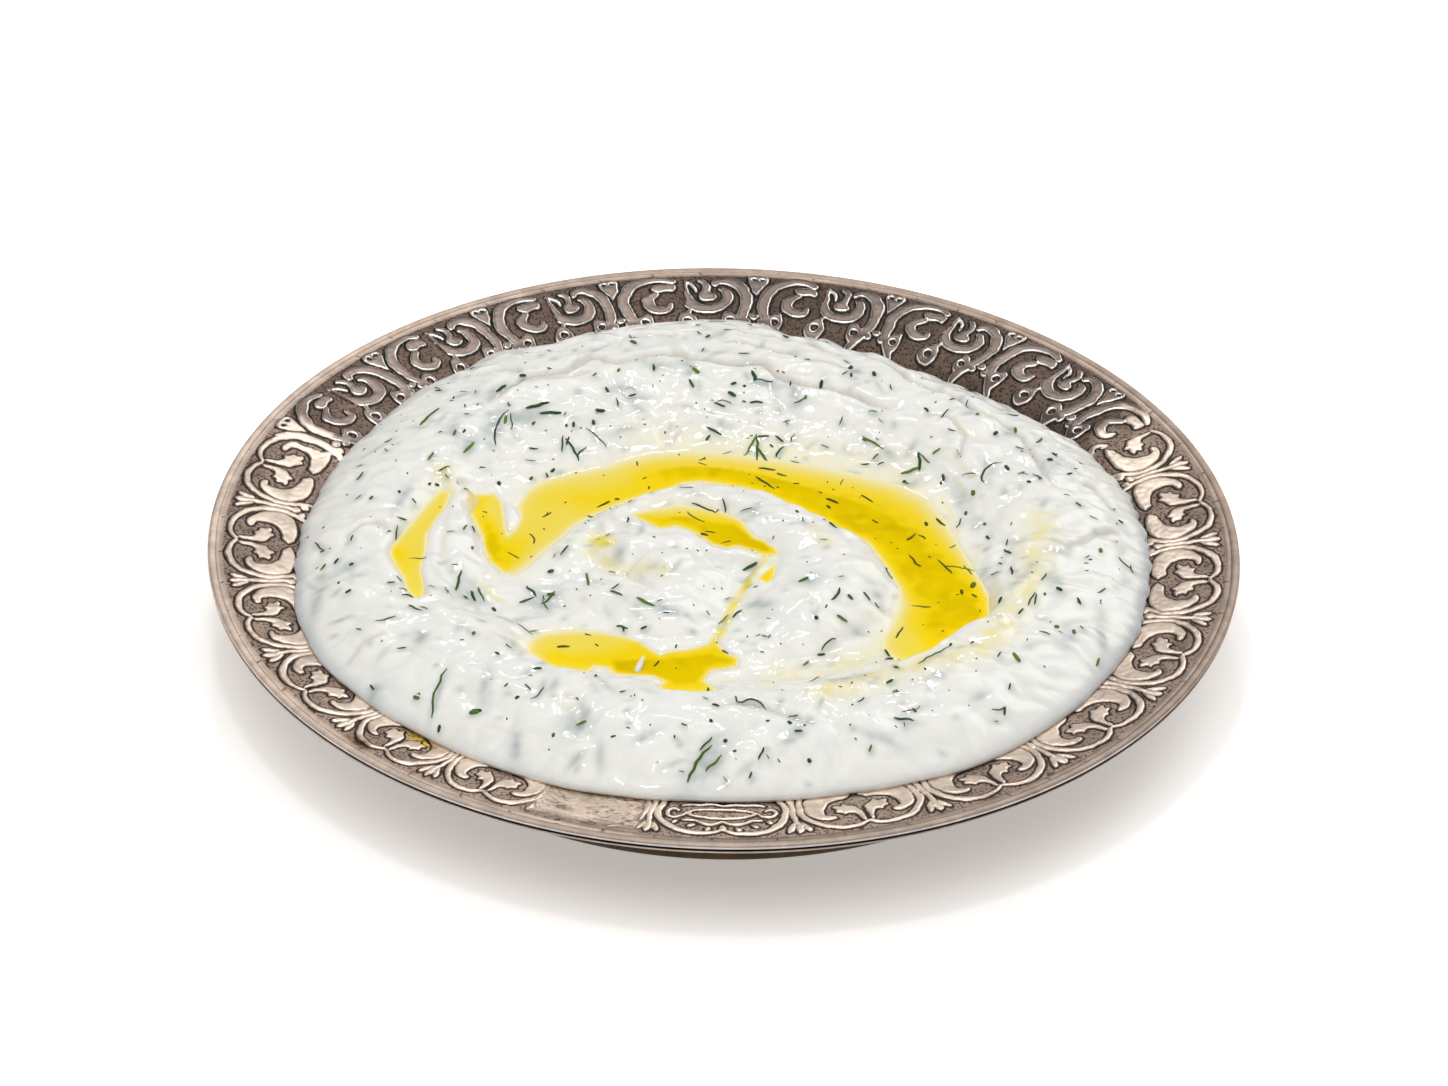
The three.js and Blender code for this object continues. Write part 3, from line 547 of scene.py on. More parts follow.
# Each strip of the rim is a slab: radii over its face, then radius and depth along its hidden side.
ring_radii = np.concatenate([np.arange(77.1, 80.9, 0.38), np.arange(80.9, 98.31, 0.256)])
hidden_side = np.array([
    (98.1, 1), (95, 0.5), (87, 0.5), (84, 0.5), (82.5, 0.6), (80.2, 0.6), (77.6, 0.6), (77.1, 0),
])
around_slab = np.concatenate([ring_radii, hidden_side[:, 0]])
sunk = np.concatenate([0 * ring_radii, hidden_side[:, 1]])
COLUMNS = 2250  # points round the whole rim
CUT_GAP = 6.3  # degrees from one cut in the plain band to the next
painted_light_at, scrolls_painted_light, band_painted_light = painted_light_round.T
for third, name in enumerate(["rim_scrolls_right", "rim_scrolls_front", "rim_scrolls_left"]):
    bpy.ops.object.select_all(action="DESELECT")
    bpy.ops.mesh.primitive_grid_add(
        x_subdivisions=COLUMNS // 3, y_subdivisions=len(around_slab) - 1, size=1
    )
    rim = bpy.context.object
    rim.name = rim.data.name = name
    spots = places_of(rim) * MM + 0.5
    angle = (third + spots[:, 0]) * 120
    row = np.rint(spots[:, 1] * (len(around_slab) - 1)).astype(int)
    radius, on_face = around_slab[row], row < len(ring_radii)
    depth, dark, worn, compass = scroll_relief(angle, radius)

    raised = ease(-0.16, 0.2, depth)
    on_band = ease(97.25, 96.9, radius) * ease(78, 80, radius) * on_face
    crown = (0.04 + 0.08 * dark) * (1 - np.exp(-np.maximum(depth, 0) / 0.7))
    groove = 0.08 * np.exp(-(((depth + 0.1) / 0.2) ** 2))
    lift = on_band * ((0.26 + 0.1 * dark) * raised + crown - groove) * (1 - 0.7 * worn)
    lift += 0.03 * on_band * drift(compass / 0.8, radius / 0.9, 42)

    # the plain band: turned lines, nicks along its inner edge and a few cuts across it
    plain = ease(96.9, 97.25, radius)
    turned = drift(compass / 7, radius / 0.35, 43)
    at_edge = np.abs(radius - PLAIN_EDGE - 0.12 * turned) < 0.2
    nick = (drift(compass / 1.05, 0 * radius + 0.5, 44) > 0.55) & at_edge
    slant = compass + 0.25 * (radius - 97)
    cut = np.abs(slant % CUT_GAP - 3 - 1.5 * np.sin(np.floor(compass / CUT_GAP) * 7)) < 0.1
    cut = cut & (plain > 0.5) & (drift(compass, radius, 48) > -0.1)
    lift -= 0.07 * (nick | cut) + 0.05 * np.exp(-(((radius - PLAIN_EDGE) / 0.12) ** 2))

    height = dish_height(radius) + np.where(on_face, lift, -sunk[row])
    round_dish = np.radians(angle)
    move_to(rim, np.column_stack([radius * np.sin(round_dish), radius * np.cos(round_dish), height]))

    clouds = 1 + 0.14 * drift(compass / 2.3, radius / 2.1, 45) + 0.1 * drift(compass / 9, radius / 5, 46)
    # the tarnish clouds are scaled by the painted light round the rim
    clouds = (clouds * np.interp(compass % 360, painted_light_at, scrolls_painted_light))[:, None]
    form_tone = blend_in(metal_top, back_shade_top, dark) * clouds
    tone = blend_in(metal_ground, back_shade_ground, dark) * clouds
    tone = blend_in(tone, worn_patch, worn * ease(97, 94, radius))
    trace = ease(0.13, 0.04, np.abs(drift(compass / 1.8, radius / 1.5, 37)))
    trace = trace * ease(-0.3, 0.1, drift(compass / 3, radius / 3, 38))
    tone = blend_in(tone, trace_brown, 0.85 * worn * on_band * trace)
    # painted light: the plain band is painted paler towards the left
    band_lit_from_left = 0.5 - 0.5 * np.cos(np.radians(compass - 90))
    pale = ease(97.2, 98.1, radius) * 0.5 + 0.3 * turned + 0.5 * band_lit_from_left
    band = blend_in(band_brown, band_pale, pale)
    # the plain band is scaled by its painted light round the rim
    band = band * np.interp(compass % 360, painted_light_at, band_painted_light)[:, None]
    tone = blend_in(tone, band, plain)
    tone = blend_in(tone, cut_brown, nick * 0.85 + cut * 0.8)
    for stain_at, out, long, wide, strength, colour in stains:
        aside = np.radians((compass - stain_at + 180) % 360 - 180) * out
        blot = strength * np.exp(-((aside / long) ** 2) - ((radius - out) / wide) ** 2)
        blot = blot * (1 + 0.5 * drift(aside / 0.9, radius / 0.8, 47))
        tone, form_tone = blend_in(tone, colour, blot), blend_in(form_tone, colour, blot)
    paint(rim, "tone", full_light(tone))
    paint(rim, "form_tone", full_light(form_tone))
    paint(rim, "form_depth", np.clip(depth, -3, 3))
    paint(rim, "inked", on_band * (1 - 0.85 * worn))
    paint(rim, "dark", dark * on_band)
    paint(rim, "polish", np.clip(0.2 + 0.45 * raised + 0.4 * worn + plain * 0.1, 0, 1))

    # the strip goes on round its hidden side, and so sits in the shell as a closed slab
    only(rim)
    bpy.ops.object.mode_set(mode="EDIT")
    bpy.ops.mesh.select_all(action="SELECT")
    bpy.ops.mesh.remove_doubles(threshold=2e-6)
    bpy.ops.mesh.fill_holes(sides=0)
    bpy.ops.mesh.select_all(action="SELECT")
    bpy.ops.mesh.normals_make_consistent(inside=False)
    bpy.ops.object.mode_set(mode="OBJECT")
    bpy.ops.object.shade_smooth_by_angle(angle=math.radians(50))
    rim.data.materials.append(aged_metal)
    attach(rim, "root")
    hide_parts("dish")
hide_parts("dish")

# ------------------------------------------------------------------ the haydari
# The dip is thick strained yoghurt with chopped dill, heaped in the dish and swirled with the back of
# a spoon. It is white, moist and a little see-through, and it stands in soft folds and peaks.

# Where the dip ends on the dish: degrees clockwise from the back, and radius.
toe_line = np.array([
    (0, 82), (5, 81.2), (10, 79.2), (15, 79.6), (20, 78.4), (25, 78.8), (30, 77.6), (40, 78.2),
    (50, 79.2), (65, 81), (80, 82.2), (90, 82.8), (100, 82.9), (110, 84), (120, 84.2), (130, 85),
    (147, 86.1), (156, 84.9), (165, 84.2), (182, 84.2), (191, 85.1), (200, 86), (220, 86), (230, 86.5),
    (240, 87.1), (250, 86), (262, 83.3), (270, 82.3), (280, 81.3), (300, 81), (312, 81.7), (318, 81.2),
    (325, 82.4), (331, 80.6), (340, 81.2), (350, 81.7), (360, 82),
])
FLAT_TOE = 0.55  # mm, thickness of the dip's very edge
DIP_BED = 0.35  # mm from the dish's smooth face up to the dip's underside, to clear the scrolls
CREST_LEVEL = 27.7  # mm, the crest round the bowl
BOWL_LEVEL = 24.35  # mm, the bowl's floor
RIDGE_FALL = 4  # mm from a ridge's top to the foot of its side

# Each pool: level, depth, and its shore as x, y and how wide the dip's bank is there, all in mm. A wide
# bank is a gentle beach.
pools = {
    "oil_main_crescent": (24.0, 2.3, [
        (-50.8, 12, 2), (-50.2, 7, 2), (-48.6, 2, 2), (-46.9, -3, 2), (-46.2, -8, 2), (-45, -12, 2),
        (-42.8, -15.5, 3), (-40.3, -16.6, 5), (-37.4, -13, 5), (-34.6, -8, 5), (-31.6, -3.6, 5),
        (-29.2, 1, 4), (-26, 4.3, 3), (-20, 9.3, 2), (-15, 12.5, 2), (-11, 14.2, 2), (-8.5, 16.5, 2),
        (-5, 17.4, 2), (0, 16.4, 2), (4.5, 15, 2), (8, 12.5, 2), (12, 9.8, 2), (15, 7, 2),
        (17.5, 5.2, 2), (20, 4.2, 2), (22.5, 0.5, 2), (26, -1.3, 2), (27.7, -2.7, 2), (29.8, -7.2, 2),
        (31.8, -12, 2), (33.8, -18.5, 3), (33.8, -24, 6), (32.4, -30, 6), (30.6, -35, 6),
        (30.6, -39, 5), (33, -42.3, 4), (37, -43, 2), (40, -40, 1.5), (42.4, -37, 1.5),
        (44.5, -33.5, 1.5), (47.5, -31.5, 1.5), (50, -30.4, 1.5), (51.1, -27, 2), (51.2, -21, 2.5),
        (50, -16.5, 3), (48.4, -12, 4), (46.5, -6, 5), (44.6, 0, 6), (42.8, 6, 8), (39.6, 13, 10),
        (34, 17.6, 10), (26, 21, 10), (18, 23.6, 10), (10, 25.8, 10), (0, 27.8, 10), (-8, 28.2, 10),
        (-15, 26.8, 9), (-20, 24.3, 8), (-24, 21.8, 8), (-31, 19, 8), (-36, 16.2, 7), (-39, 12, 5),
        (-40.2, 7.5, 4), (-39.6, 3, 3), (-40.5, -1, 2), (-41.9, -3, 2), (-42.5, 0.5, 2), (-43, 5, 2),
        (-43.5, 9, 2), (-45, 11.6, 2), (-47.6, 11.2, 2),
    ]),
    "oil_left_streak": (26.0, 1.2, [
        (-53.2, 8.6, 3), (-54.2, 3.4, 2), (-55.8, -1, 2), (-57.4, -6, 2), (-57.4, -12, 2),
        (-58, -18, 2), (-57, -24, 2), (-57.2, -27.4, 2), (-58.7, -28.2, 2), (-60.4, -24.8, 2),
        (-61.2, -21, 2), (-62.7, -17.6, 2), (-64, -13.6, 2), (-64.3, -11.4, 2), (-62.6, -7, 3),
        (-60.6, -2, 4), (-58.8, 2.4, 4), (-57.2, 6.2, 4), (-55.4, 9.6, 4),
    ]),
    "oil_inner_crescent": (26.0, 1.7, [
        (-18.4, 2.4, 3), (-14, 4.4, 5), (-9, 6, 6), (-4, 5.4, 6), (0, 3.9, 5), (3.4, 1.1, 3),
        (4.8, -2.4, 2), (5.8, -4.5, 2), (8, -5.9, 2), (10, -8.4, 2), (10.7, -10.3, 2), (8, -10.9, 2),
        (5.5, -9.4, 2), (2.5, -7.9, 2), (0.5, -8.7, 2), (-2.5, -7.4, 2), (-4.5, -4.9, 2),
        (-7, -2.6, 2), (-9.3, -1.4, 2), (-12.5, -2.4, 2), (-15.2, -0.3, 2),
    ]),
    "oil_channel_drop": (25.4, 1.2, [
        (10, -12.6, 1.5), (8.4, -15, 1.5), (6.6, -17.8, 1.5), (8.4, -19.6, 1.5), (9.7, -17.6, 1.5),
        (9.9, -15, 1.5),
    ]),
    "oil_front_pool": (24.0, 1.7, [
        (-37, -42, 5), (-36.4, -38.2, 5), (-34, -35.8, 5), (-28, -34.6, 5), (-23, -35, 4),
        (-19, -36.2, 3), (-15.4, -38, 2), (-13.2, -40.6, 2), (-11.6, -42, 2), (-10, -41, 2),
        (-6, -39.8, 3), (-2.8, -38.2, 3), (-1.3, -35, 2), (-0.6, -38.4, 2), (1, -41, 2),
        (3.2, -42.7, 2), (3, -45.4, 2), (0, -46.4, 2), (-2, -47, 2), (-3.2, -50.4, 2), (-1, -53, 2),
        (-1, -55.8, 2), (-5, -56.3, 2), (-10, -56, 2), (-11.8, -52.8, 2), (-10.8, -51, 2),
        (-12.8, -49.3, 2), (-20, -49, 2), (-21.6, -46.8, 2), (-24, -46.4, 2), (-26, -50, 2),
        (-31, -49, 2), (-34.4, -45.4, 3),
    ]),
}

# Ridges between the spoon's strokes: x, y, level of the top, half width.
spoon_ridges = [
    [(-25, 0, 25.6, 5), (-15, 5.5, 26.7, 6.5), (-5, 9, 27.4, 8), (5, 7, 27.6, 8.5),
     (12, 1.5, 27.7, 9.5), (18, -6, 27.9, 11.5), (20, -15, 28.2, 13), (17, -25, 28, 14.5),
     (14, -33, 26.9, 13), (10, -39, 25.4, 9)],
    [(-20, -7, 26.9, 7), (-12, -10, 27.6, 9.5), (-9, -18, 27.5, 11), (-11, -27, 26.8, 11.5),
     (-21, -24, 25.9, 9)],
    [(-54.5, 22, 28, 6), (-52.8, 8, 26.9, 4), (-52, -4, 27, 5.5), (-50.5, -18, 26.2, 6)],
]

# Creases where one spoonful lies over the next: depth, then x, y along it.
creases = [
    (0.8, [(-56, 35.5), (-52, 37), (-48, 38.5), (-45, 41), (-43, 44), (-41, 46.5), (-38.5, 48),
           (-35, 48.6), (-32, 49.6), (-30, 52), (-28.5, 54.5), (-27, 55.8), (-25.5, 55.6),
           (-24.3, 54.2), (-22, 53.6), (-18.5, 55), (-16, 56.5), (-13, 57.2), (-11, 57.2), (-9.5, 56.6),
           (-8, 55), (-6, 54.3), (-3, 54), (1, 54), (5, 54.3), (7.5, 53), (9, 51), (10.5, 49.3),
           (12.5, 47.8), (15.5, 46.9), (19, 46.5), (22.5, 45.2), (25.5, 43.7), (28, 41.7), (31, 40),
           (33.5, 39.5), (36, 40.3), (38.5, 39.5)]),
    (0.5, [(-41, 45.5), (-37.5, 46.8), (-34, 47.4), (-31, 48.1), (-29, 49.4), (-27, 50.8)]),
    (0.6, [(-51, 51), (-47, 52.2), (-45, 52.2), (-42.5, 51), (-40.5, 49.3)]),
    (0.6, [(-28, 56), (-25.5, 60), (-24, 62), (-21, 64), (-18, 65.5), (-15, 65.8), (-11, 66),
           (-7, 67.3), (-3, 68.8)]),
    (0.7, [(-2, 62.5), (1, 62.6), (4, 61.5), (7, 60.2), (10, 59), (13, 57.5), (16, 56.5), (19, 56),
           (22, 54.5), (25, 53.3)]),
    (0.7, [(1, 69.2), (4, 67), (7, 66.2), (9, 65.8), (11.5, 64.5), (14, 63.7), (16.5, 62), (19, 60.3),
           (22.5, 59.3)]),
    (0.8, [(29, 60), (32, 58.5), (33.5, 56.5), (34.5, 54), (35.5, 51.5), (37, 49.8), (39, 48.5),
           (41.5, 47.5), (44, 45.6), (46, 43.5), (48, 41.5), (50.5, 39.4), (54, 36.3), (56, 33.8),
           (58, 31), (59, 28), (60, 25), (61, 22), (62.5, 17.5), (64, 13.5), (66.5, 12.6)]),
    (0.6, [(64, 26), (67, 24), (68.5, 22), (70, 19.5)]),
    (0.6, [(69, 16.5), (72, 16), (74, 13), (76, 9.5)]),
    (0.6, [(61.5, -5), (64, -6), (66.5, -7.5), (68, -6), (70, -4), (72, -1), (75, 1), (78, 1.6)]),
    (0.5, [(-73, -12), (-72.3, -7), (-70, -5.2), (-67.5, -4.6), (-65.5, -6), (-64.8, -9)]),
    (0.5, [(-1, -63), (4, -62.4), (8, -63.6), (12, -65.2), (18, -68)]),
    (0.4, [(-30, -60), (-27, -62), (-25.5, -66), (-27, -69)]),
    (0.4, [(-63, -40), (-68, -42), (-71, -47)]),
    (0.5, [(45, 22), (47, 30), (44, 36), (38, 38)]),
]


def toe_reach(x, y):
    """Radius at which the dip ends, on each place's side of it. It is slightly ragged at the sides."""
    compass = np.degrees(np.arctan2(x, y)) % 360
    i = np.clip(np.searchsorted(toe_line[:, 0], compass, side="right"), 1, len(toe_line) - 1)
    low, high = toe_line[i - 1], toe_line[i]
    way = ease(0, 1, (compass - low[..., 0]) / (high[..., 0] - low[..., 0]))
    reach = low[..., 1] + (high[..., 1] - low[..., 1]) * way
    ragged = np.exp(-(((compass - 80) / 34) ** 2)) + 0.5 * np.exp(-(((compass - 275) / 40) ** 2))
    return reach + 0.55 * ragged * drift(compass / 1.7, 0 * compass + 0.5, 14)


def faded_ends(way, sharpness):
    """1 along a line, and 0 at its two ends."""
    return ease(0, 1, way * sharpness) * ease(0, 1, (1 - way) * sharpness)


def smooth_max(a, b, blend):
    """The higher of two heights, rounded off where they meet."""
    share = np.clip(0.5 + (a - b) / (2 * blend), 0, 1)
    return b + (a - b) * share + blend * share * (1 - share)


def shore_distance(x, y, shore):
    """Distance to a shore, negative over the oil, and the width of the bank there."""
    shore = np.asarray(shore, float)
    distance, _, _, (bank,) = along_line(x, y, np.vstack([shore, shore[:1]]))
    return np.where(depth_inside(shore[:, :2], x, y) > 0, -distance, distance), bank


# Where the oil is shallow and pale, or with a minus deep: x, y, half width, half length, and how much.
shallow_oil = [
    (-34, 2, 10, 11, 0.75), (-24, 17, 10, 6, 0.5), (34, -37, 5, 6, 0.7), (-27, -39, 11, 4.5, 0.7),
    (-29, -48, 5, 2.5, 0.6), (-44.5, 7, 3, 5, 0.7), (-8, 5, 9, 2.5, 0.6), (44, 9, 4, 8, 0.5),
    (-59, 0, 6, 11, 0.8), (-59, -24, 4, 7, 0.7), (-60, -12, 3.5, 6, 0.4), (-5, -54, 8, 2.5, 0.5),
    (-46, -8, 2, 8, -0.8), (-62.6, -13, 1.5, 3, -0.5), (4, -6, 9, 3, -0.6), (-12, -48, 9, 3, -0.5),
]
def oil_body(x, y, distance, bank):
    """How full the oil's colour is, and how much of the dip it hides. Both rise from the shore."""
    inwards = np.maximum(-distance, 0)
    body = 1 - np.exp(-inwards / (0.1 + 0.38 * bank))
    for spot_x, spot_y, wide, long, share in shallow_oil:
        body = body * (1 - share * np.exp(-(((x - spot_x) / wide) ** 2) - ((y - spot_y) / long) ** 2))
    cover = 1 - np.exp(-inwards / (0.2 * np.maximum(bank - 1, 0.5)))
    return np.clip(body * (1 + 0.12 * drift(x / 3, y / 3, 55)), 0, 1), cover


def in_bowl(x, y):
    """Each place from the bowl's middle, rightwards and backwards, with the crest 1 away all round."""
    return (x + 1.5) / 61.5, (y + 3) / 58


def heap_height(x, y):
    """The heap before any stroke: a bowl inside a crest, and a slope down to the toe."""
    radius = np.hypot(x, y)
    u, v = in_bowl(x, y)
    q = np.maximum(np.hypot(u, v), 1e-6)
    backwards = np.maximum(v / q, 0)
    crest = CREST_LEVEL + 0.5 * backwards
    wall_start = 0.8 - 0.32 * backwards**2
    wall = ease(0, 1, (q - wall_start) / (1 - wall_start)) ** 0.9
    bowl = BOWL_LEVEL + (crest - BOWL_LEVEL) * wall
    toe = toe_reach(x, y)
    crest_radius = radius / q
    down = np.clip((radius - crest_radius) / (toe - crest_radius), 0, 1)
    edge = dish_height(toe) + DIP_BED + FLAT_TOE
    slope = edge + (crest - edge) * (1 - down**2.1) ** 0.8
    return np.where(q < 1, bowl, slope)


def wall_streaks(x, y):
    """Where the spoon has left its streaks: on the bowl's wall, most of all in front and to the right."""
    u, v = in_bowl(x, y)
    q = np.hypot(u, v)
    on_wall = ease(0.66, 0.78, q) * ease(1.03, 0.95, q)
    return on_wall * np.clip(0.35 + ease(0.3, -0.5, v) + 0.5 * ease(0.3, 0.8, u), 0, 1)


def lumps(x, y):
    """Large and small lumps of the dip. Each amount crosses 0 in the creases between them."""
    bent_x, bent_y = x + 2.2 * drift(x / 9, y / 9, 12), y + 2.2 * drift(x / 9, y / 9, 13)
    return drift(bent_x / 12, bent_y / 10, 7), drift(bent_x / 5.6, bent_y / 4.6, 8)


def dip_height(x, y):
    """Height of the dip's skin in mm."""
    calm = ease(0, 1, (toe_reach(x, y) - np.hypot(x, y)) / 6)
    height = heap_height(x, y)
    for ridge in spoon_ridges:
        distance, _, _, (top, width) = along_line(x, y, ridge)
        q = distance / width
        stroke = np.where(q < 1, top - RIDGE_FALL * (1 - np.maximum(1 - q * q, 0) ** 0.75), 0)
        height = smooth_max(height, stroke, 0.7)
    for strength, line in creases:
        distance, outwards, way, _ = along_line(x, y, line)
        upper_lip = 1.1 * ease(0, 1.6, distance) * np.exp(-distance / 6)
        lip = np.where(outwards, upper_lip, 0.5 * np.exp(-distance / 3.5))
        cleft = 0.9 * np.exp(-((distance / 0.7) ** 2))
        height = height + calm * strength * faded_ends(way, 6) * (lip - cleft)

    # pillowy lumps with creases between them, and streaks along the way that the spoon went
    u, v = in_bowl(x, y)
    sweep, reach = np.arctan2(u, v) * 60, np.hypot(u, v) * 60
    large, small = lumps(x, y)
    outside = ease(56, 64, reach)
    height = height + calm * (1.1 * np.sqrt(large**2 + 0.006) - 0.45)
    height = height + calm * (1 + 0.5 * outside) * (0.42 * np.sqrt(small**2 + 0.01) - 0.15)
    height = height + calm * (0.12 - 0.06 * outside) * drift(x / 2.6, y / 2.2, 9)
    streaks = 0.24 * drift(sweep / 18, reach / 2.1, 10) + 0.09 * drift(sweep / 10, reach, 11)
    height = height + calm * wall_streaks(x, y) * streaks

    # each pool's bed, the bank that rises from its shore, and a brim where the dip would lie too low
    for level, depth, shore in pools.values():
        distance, bank = shore_distance(x, y, shore)
        rise = np.clip(np.abs(distance) / bank, 0, 1)
        rise = rise * (2 - rise)
        brim = level + 0.3 * rise - np.maximum(distance - bank, 0)
        ashore = np.maximum(level + (height - level) * rise, brim)
        height = np.where(distance < 0, level - depth * rise, ashore)
    return height


bpy.ops.object.select_all(action="DESELECT")
bpy.ops.mesh.primitive_grid_add(x_subdivisions=288, y_subdivisions=288, size=2)
dip = bpy.context.object
dip.name = dip.data.name = "haydari_dip"
# the square grid is drawn out to a disc that ends at the toe
square = places_of(dip) * MM
a, b = square[:, 0], square[:, 1]
wide = np.abs(a) > np.abs(b)
share = np.where(wide, a, b)
lean = np.where(wide, b / np.where(wide, a, 1), 2 - a / np.where(wide | (b == 0), 1, b)) * math.pi / 4
disc_x, disc_y = share * np.cos(lean), share * np.sin(lean)
toe = toe_reach(disc_x, disc_y)
x, y = disc_x * toe, disc_y * toe
move_to(dip, np.column_stack([x, y, dip_height(x, y)]))

# the skin goes round the toe and on under the dip, over the dish's face to its middle
only(dip)
for inset in [0, 0.35, 1.4, 3.5, 6.5, 10, 16, 40]:
    bpy.ops.object.mode_set(mode="EDIT")
    if inset == 0:
        bpy.ops.mesh.select_all(action="SELECT")
        bpy.ops.mesh.region_to_loop()
    bpy.ops.mesh.extrude_region_move()
    bpy.ops.object.mode_set(mode="OBJECT")
    spots = places_of(dip)
    edge = np.zeros(len(spots), bool)
    dip.data.vertices.foreach_get("select", edge)
    around = np.arctan2(spots[:, 0], spots[:, 1])
    toe = toe_reach(spots[:, 0], spots[:, 1])
    inner = toe - inset if inset < 10 else np.full(len(spots), 86.5 - inset)
    laid = np.column_stack([inner * np.sin(around), inner * np.cos(around), dish_height(inner) + DIP_BED])
    move_to(dip, np.where(edge[:, None], laid, spots))
bpy.ops.object.mode_set(mode="EDIT")
bpy.ops.mesh.extrude_region_move()
bpy.ops.mesh.merge(type="CENTER")
bpy.ops.mesh.select_all(action="SELECT")
bpy.ops.mesh.normals_make_consistent(inside=False)
bpy.ops.object.mode_set(mode="OBJECT")
bpy.ops.object.shade_smooth()

yoghurt, nodes, links, shader = nodes_for("strained_yoghurt", {
    "Roughness": 0.48, "Specular IOR Level": 0.35, "IOR": 1.38,
    "Coat Weight": 0.6, "Coat Roughness": 0.05, "Coat IOR": 1.4,
    "Subsurface Weight": 0.3, "Subsurface Radius": (1, 0.92, 0.85), "Subsurface Scale": 0.0014,
})
links.new(painted(nodes, "milk"), shader.inputs["Base Color"])
curd = pattern(nodes, links, "Noise", {"Scale": 420, "Detail": 3})
grain_on(nodes, links, shader, curd.outputs["Fac"], 0.3, 0.0003)
dip.data.materials.append(yoghurt)

# Thin films of oil on the dip's skin: strength, half width, then x, y along the smear.
oil_films = [
    (0.55, 4.5, [(30, -40), (22, -46), (10, -50)]),
    (0.75, 3.2, [(61, 2), (60, -17), (50, -42), (20, -58)]),
    (0.7, 2.2, [(-55, 15), (-54.5, 9)]),
    (2.2, 1.8, [(-24.3, -4.5), (-22.8, -7.6)]),
    (1.8, 1.0, [(9, -10), (5, -18), (2.5, -24), (0.5, -31), (-1, -37)]),
    (0.5, 1.5, [(17.5, -3.5), (20, -9.5)]),
    (0.7, 1.8, [(-25, -9), (-20, -15), (-12, -18)]),
    (0.6, 1.6, [(-42, -1), (-44, -11)]),
    (0.25, 5, [(34, 22), (10, 30), (-16, 32)]),
]
# Dill that lies just under the skin and shows through it, blurred: x, y, half length, half width and
# heading in degrees.
sunk_dill = [
    (-46, 31, 5, 1.6, 80), (-53.6, 29, 4, 1.3, 85), (-50.4, 24.5, 4.5, 1.4, 62), (-38, 35, 4, 1.8, 20),
    (-42, 34, 3, 1, 160), (-46, 42.5, 3, 1, 50), (-14, 53, 4, 1.8, 170), (-7.6, 52.8, 2.8, 1, 135),
    (13.3, 44, 4, 1.2, 100), (7.5, 47.5, 3, 1, 175), (-2, 66.5, 2, 1.2, 60), (36, 18, 3.4, 1.8, 25),
    (64.5, 21, 3, 2.4, 40), (25, 51.5, 1.2, 2.4, 0), (63.6, -19, 4, 1.6, 95),
    (65.4, -36, 3.6, 1.6, 80), (16.5, -21.5, 3.2, 2, 35), (7, -27, 3.6, 1.4, 150),
    (-11, -30, 5, 1.3, 155), (-48, -25, 5, 2.4, 100), (-34, -25, 5, 3.4, 60),
    (-20, -11, 2.4, 1.4, 100), (-44, -57, 5, 1.3, 85), (-26.5, -68, 4, 3, 60), (-2.5, -77, 7, 2.4, 58),
    (-65, -55, 3, 1.4, 80), (-77.5, -26, 6, 1.4, 80), (-62.5, 4, 6, 1.1, 75), (-72, -18, 3.6, 1.2, 25),
    (56.5, -20, 5.5, 1.1, 62), (50.2, -13, 3, 1.1, 100), (49, 3.5, 1.5, 2.4, 0), (46, 12, 1.6, 5, 10),
    (32, 27, 2, 1, 130), (-21, 45, 3, 1.4, 0), (-27, 58.5, 3, 1, 50), (30, -24, 5, 1.2, 115),
    (26, -34, 2, 1.4, 10), (40, -52, 3, 1, 30), (23, -54, 5, 1.4, 12), (6, 4, 2, 1, 70),
    (-57, -42, 2, 1.4, 100), (72, -33, 5, 1, 95), (-31, 57, 2, 0.8, 70), (48, 38, 2, 1.4, 60),
    (-69, 24, 3, 0.8, 30), (14, -70, 4, 1.2, 60), (-14, -72, 2.4, 1.2, 45), (-38, -72, 1.4, 4, 0),
    (30, -70, 4, 1, 160), (-20, 33, 3, 1, 20),
]
fresh_white = linear(248, 247, 241)
oil_stain = linear(246, 226, 70)
cream = linear(246, 245, 224)
cool_white = linear(214, 220, 224)
crease_shade_grey = linear(210, 213, 212)
sunk_green = linear(146, 162, 166)
crease_line_shade = linear(172, 162, 153)
toe_grey = linear(170, 184, 198)
oily_cream = linear(252, 232, 110)
oily_yellow = linear(252, 224, 20)


def smudge(dx, dy, lean, long, wide):
    """A soft blot along a heading: 1 in its middle, and fading over its half length and half width."""
    ahead, aside = dx * math.cos(lean) + dy * math.sin(lean), dy * math.cos(lean) - dx * math.sin(lean)
    return np.exp(-((ahead / long) ** 2) - (aside / wide) ** 2)


spots = places_of(dip)
x, y = spots[:, 0], spots[:, 1]
film = np.zeros(len(spots))
patchy = 0.75 + 0.6 * drift(x / 3, y / 3, 21)
for strength, half_width, line in oil_films:
    distance, _, _, _ = along_line(x, y, line)
    film = np.maximum(film, strength * patchy * np.exp(-((distance / half_width) ** 2)))
u, v = in_bowl(x, y)
fine_line = drift(np.arctan2(u, v) * 60 / 22, np.hypot(u, v) * 60 / 1.5, 24)
film = np.maximum(film, 0.5 * wall_streaks(x, y) * ease(0.25, 0.75, fine_line))
milk = blend_in(fresh_white, oil_stain, film * 0.7)
milk = blend_in(milk, cream, 0.3 * ease(0.2, 0.8, drift(x / 8, y / 8, 23)))
milk = blend_in(milk, cool_white, 0.22 * ease(0.25, 0.9, drift(x / 5, y / 5, 22)))
# painted shade: the skin is painted grey in the creases between its lumps
broad, fine = lumps(x, y)
between = 0.1 * ease(0.3, 0, np.abs(broad)) + 0.12 * ease(0.3, 0, np.abs(fine))
milk = blend_in(milk, crease_shade_grey, between)
blotchy = 0.8 + 0.5 * drift(x / 1.6, y / 1.6, 25)
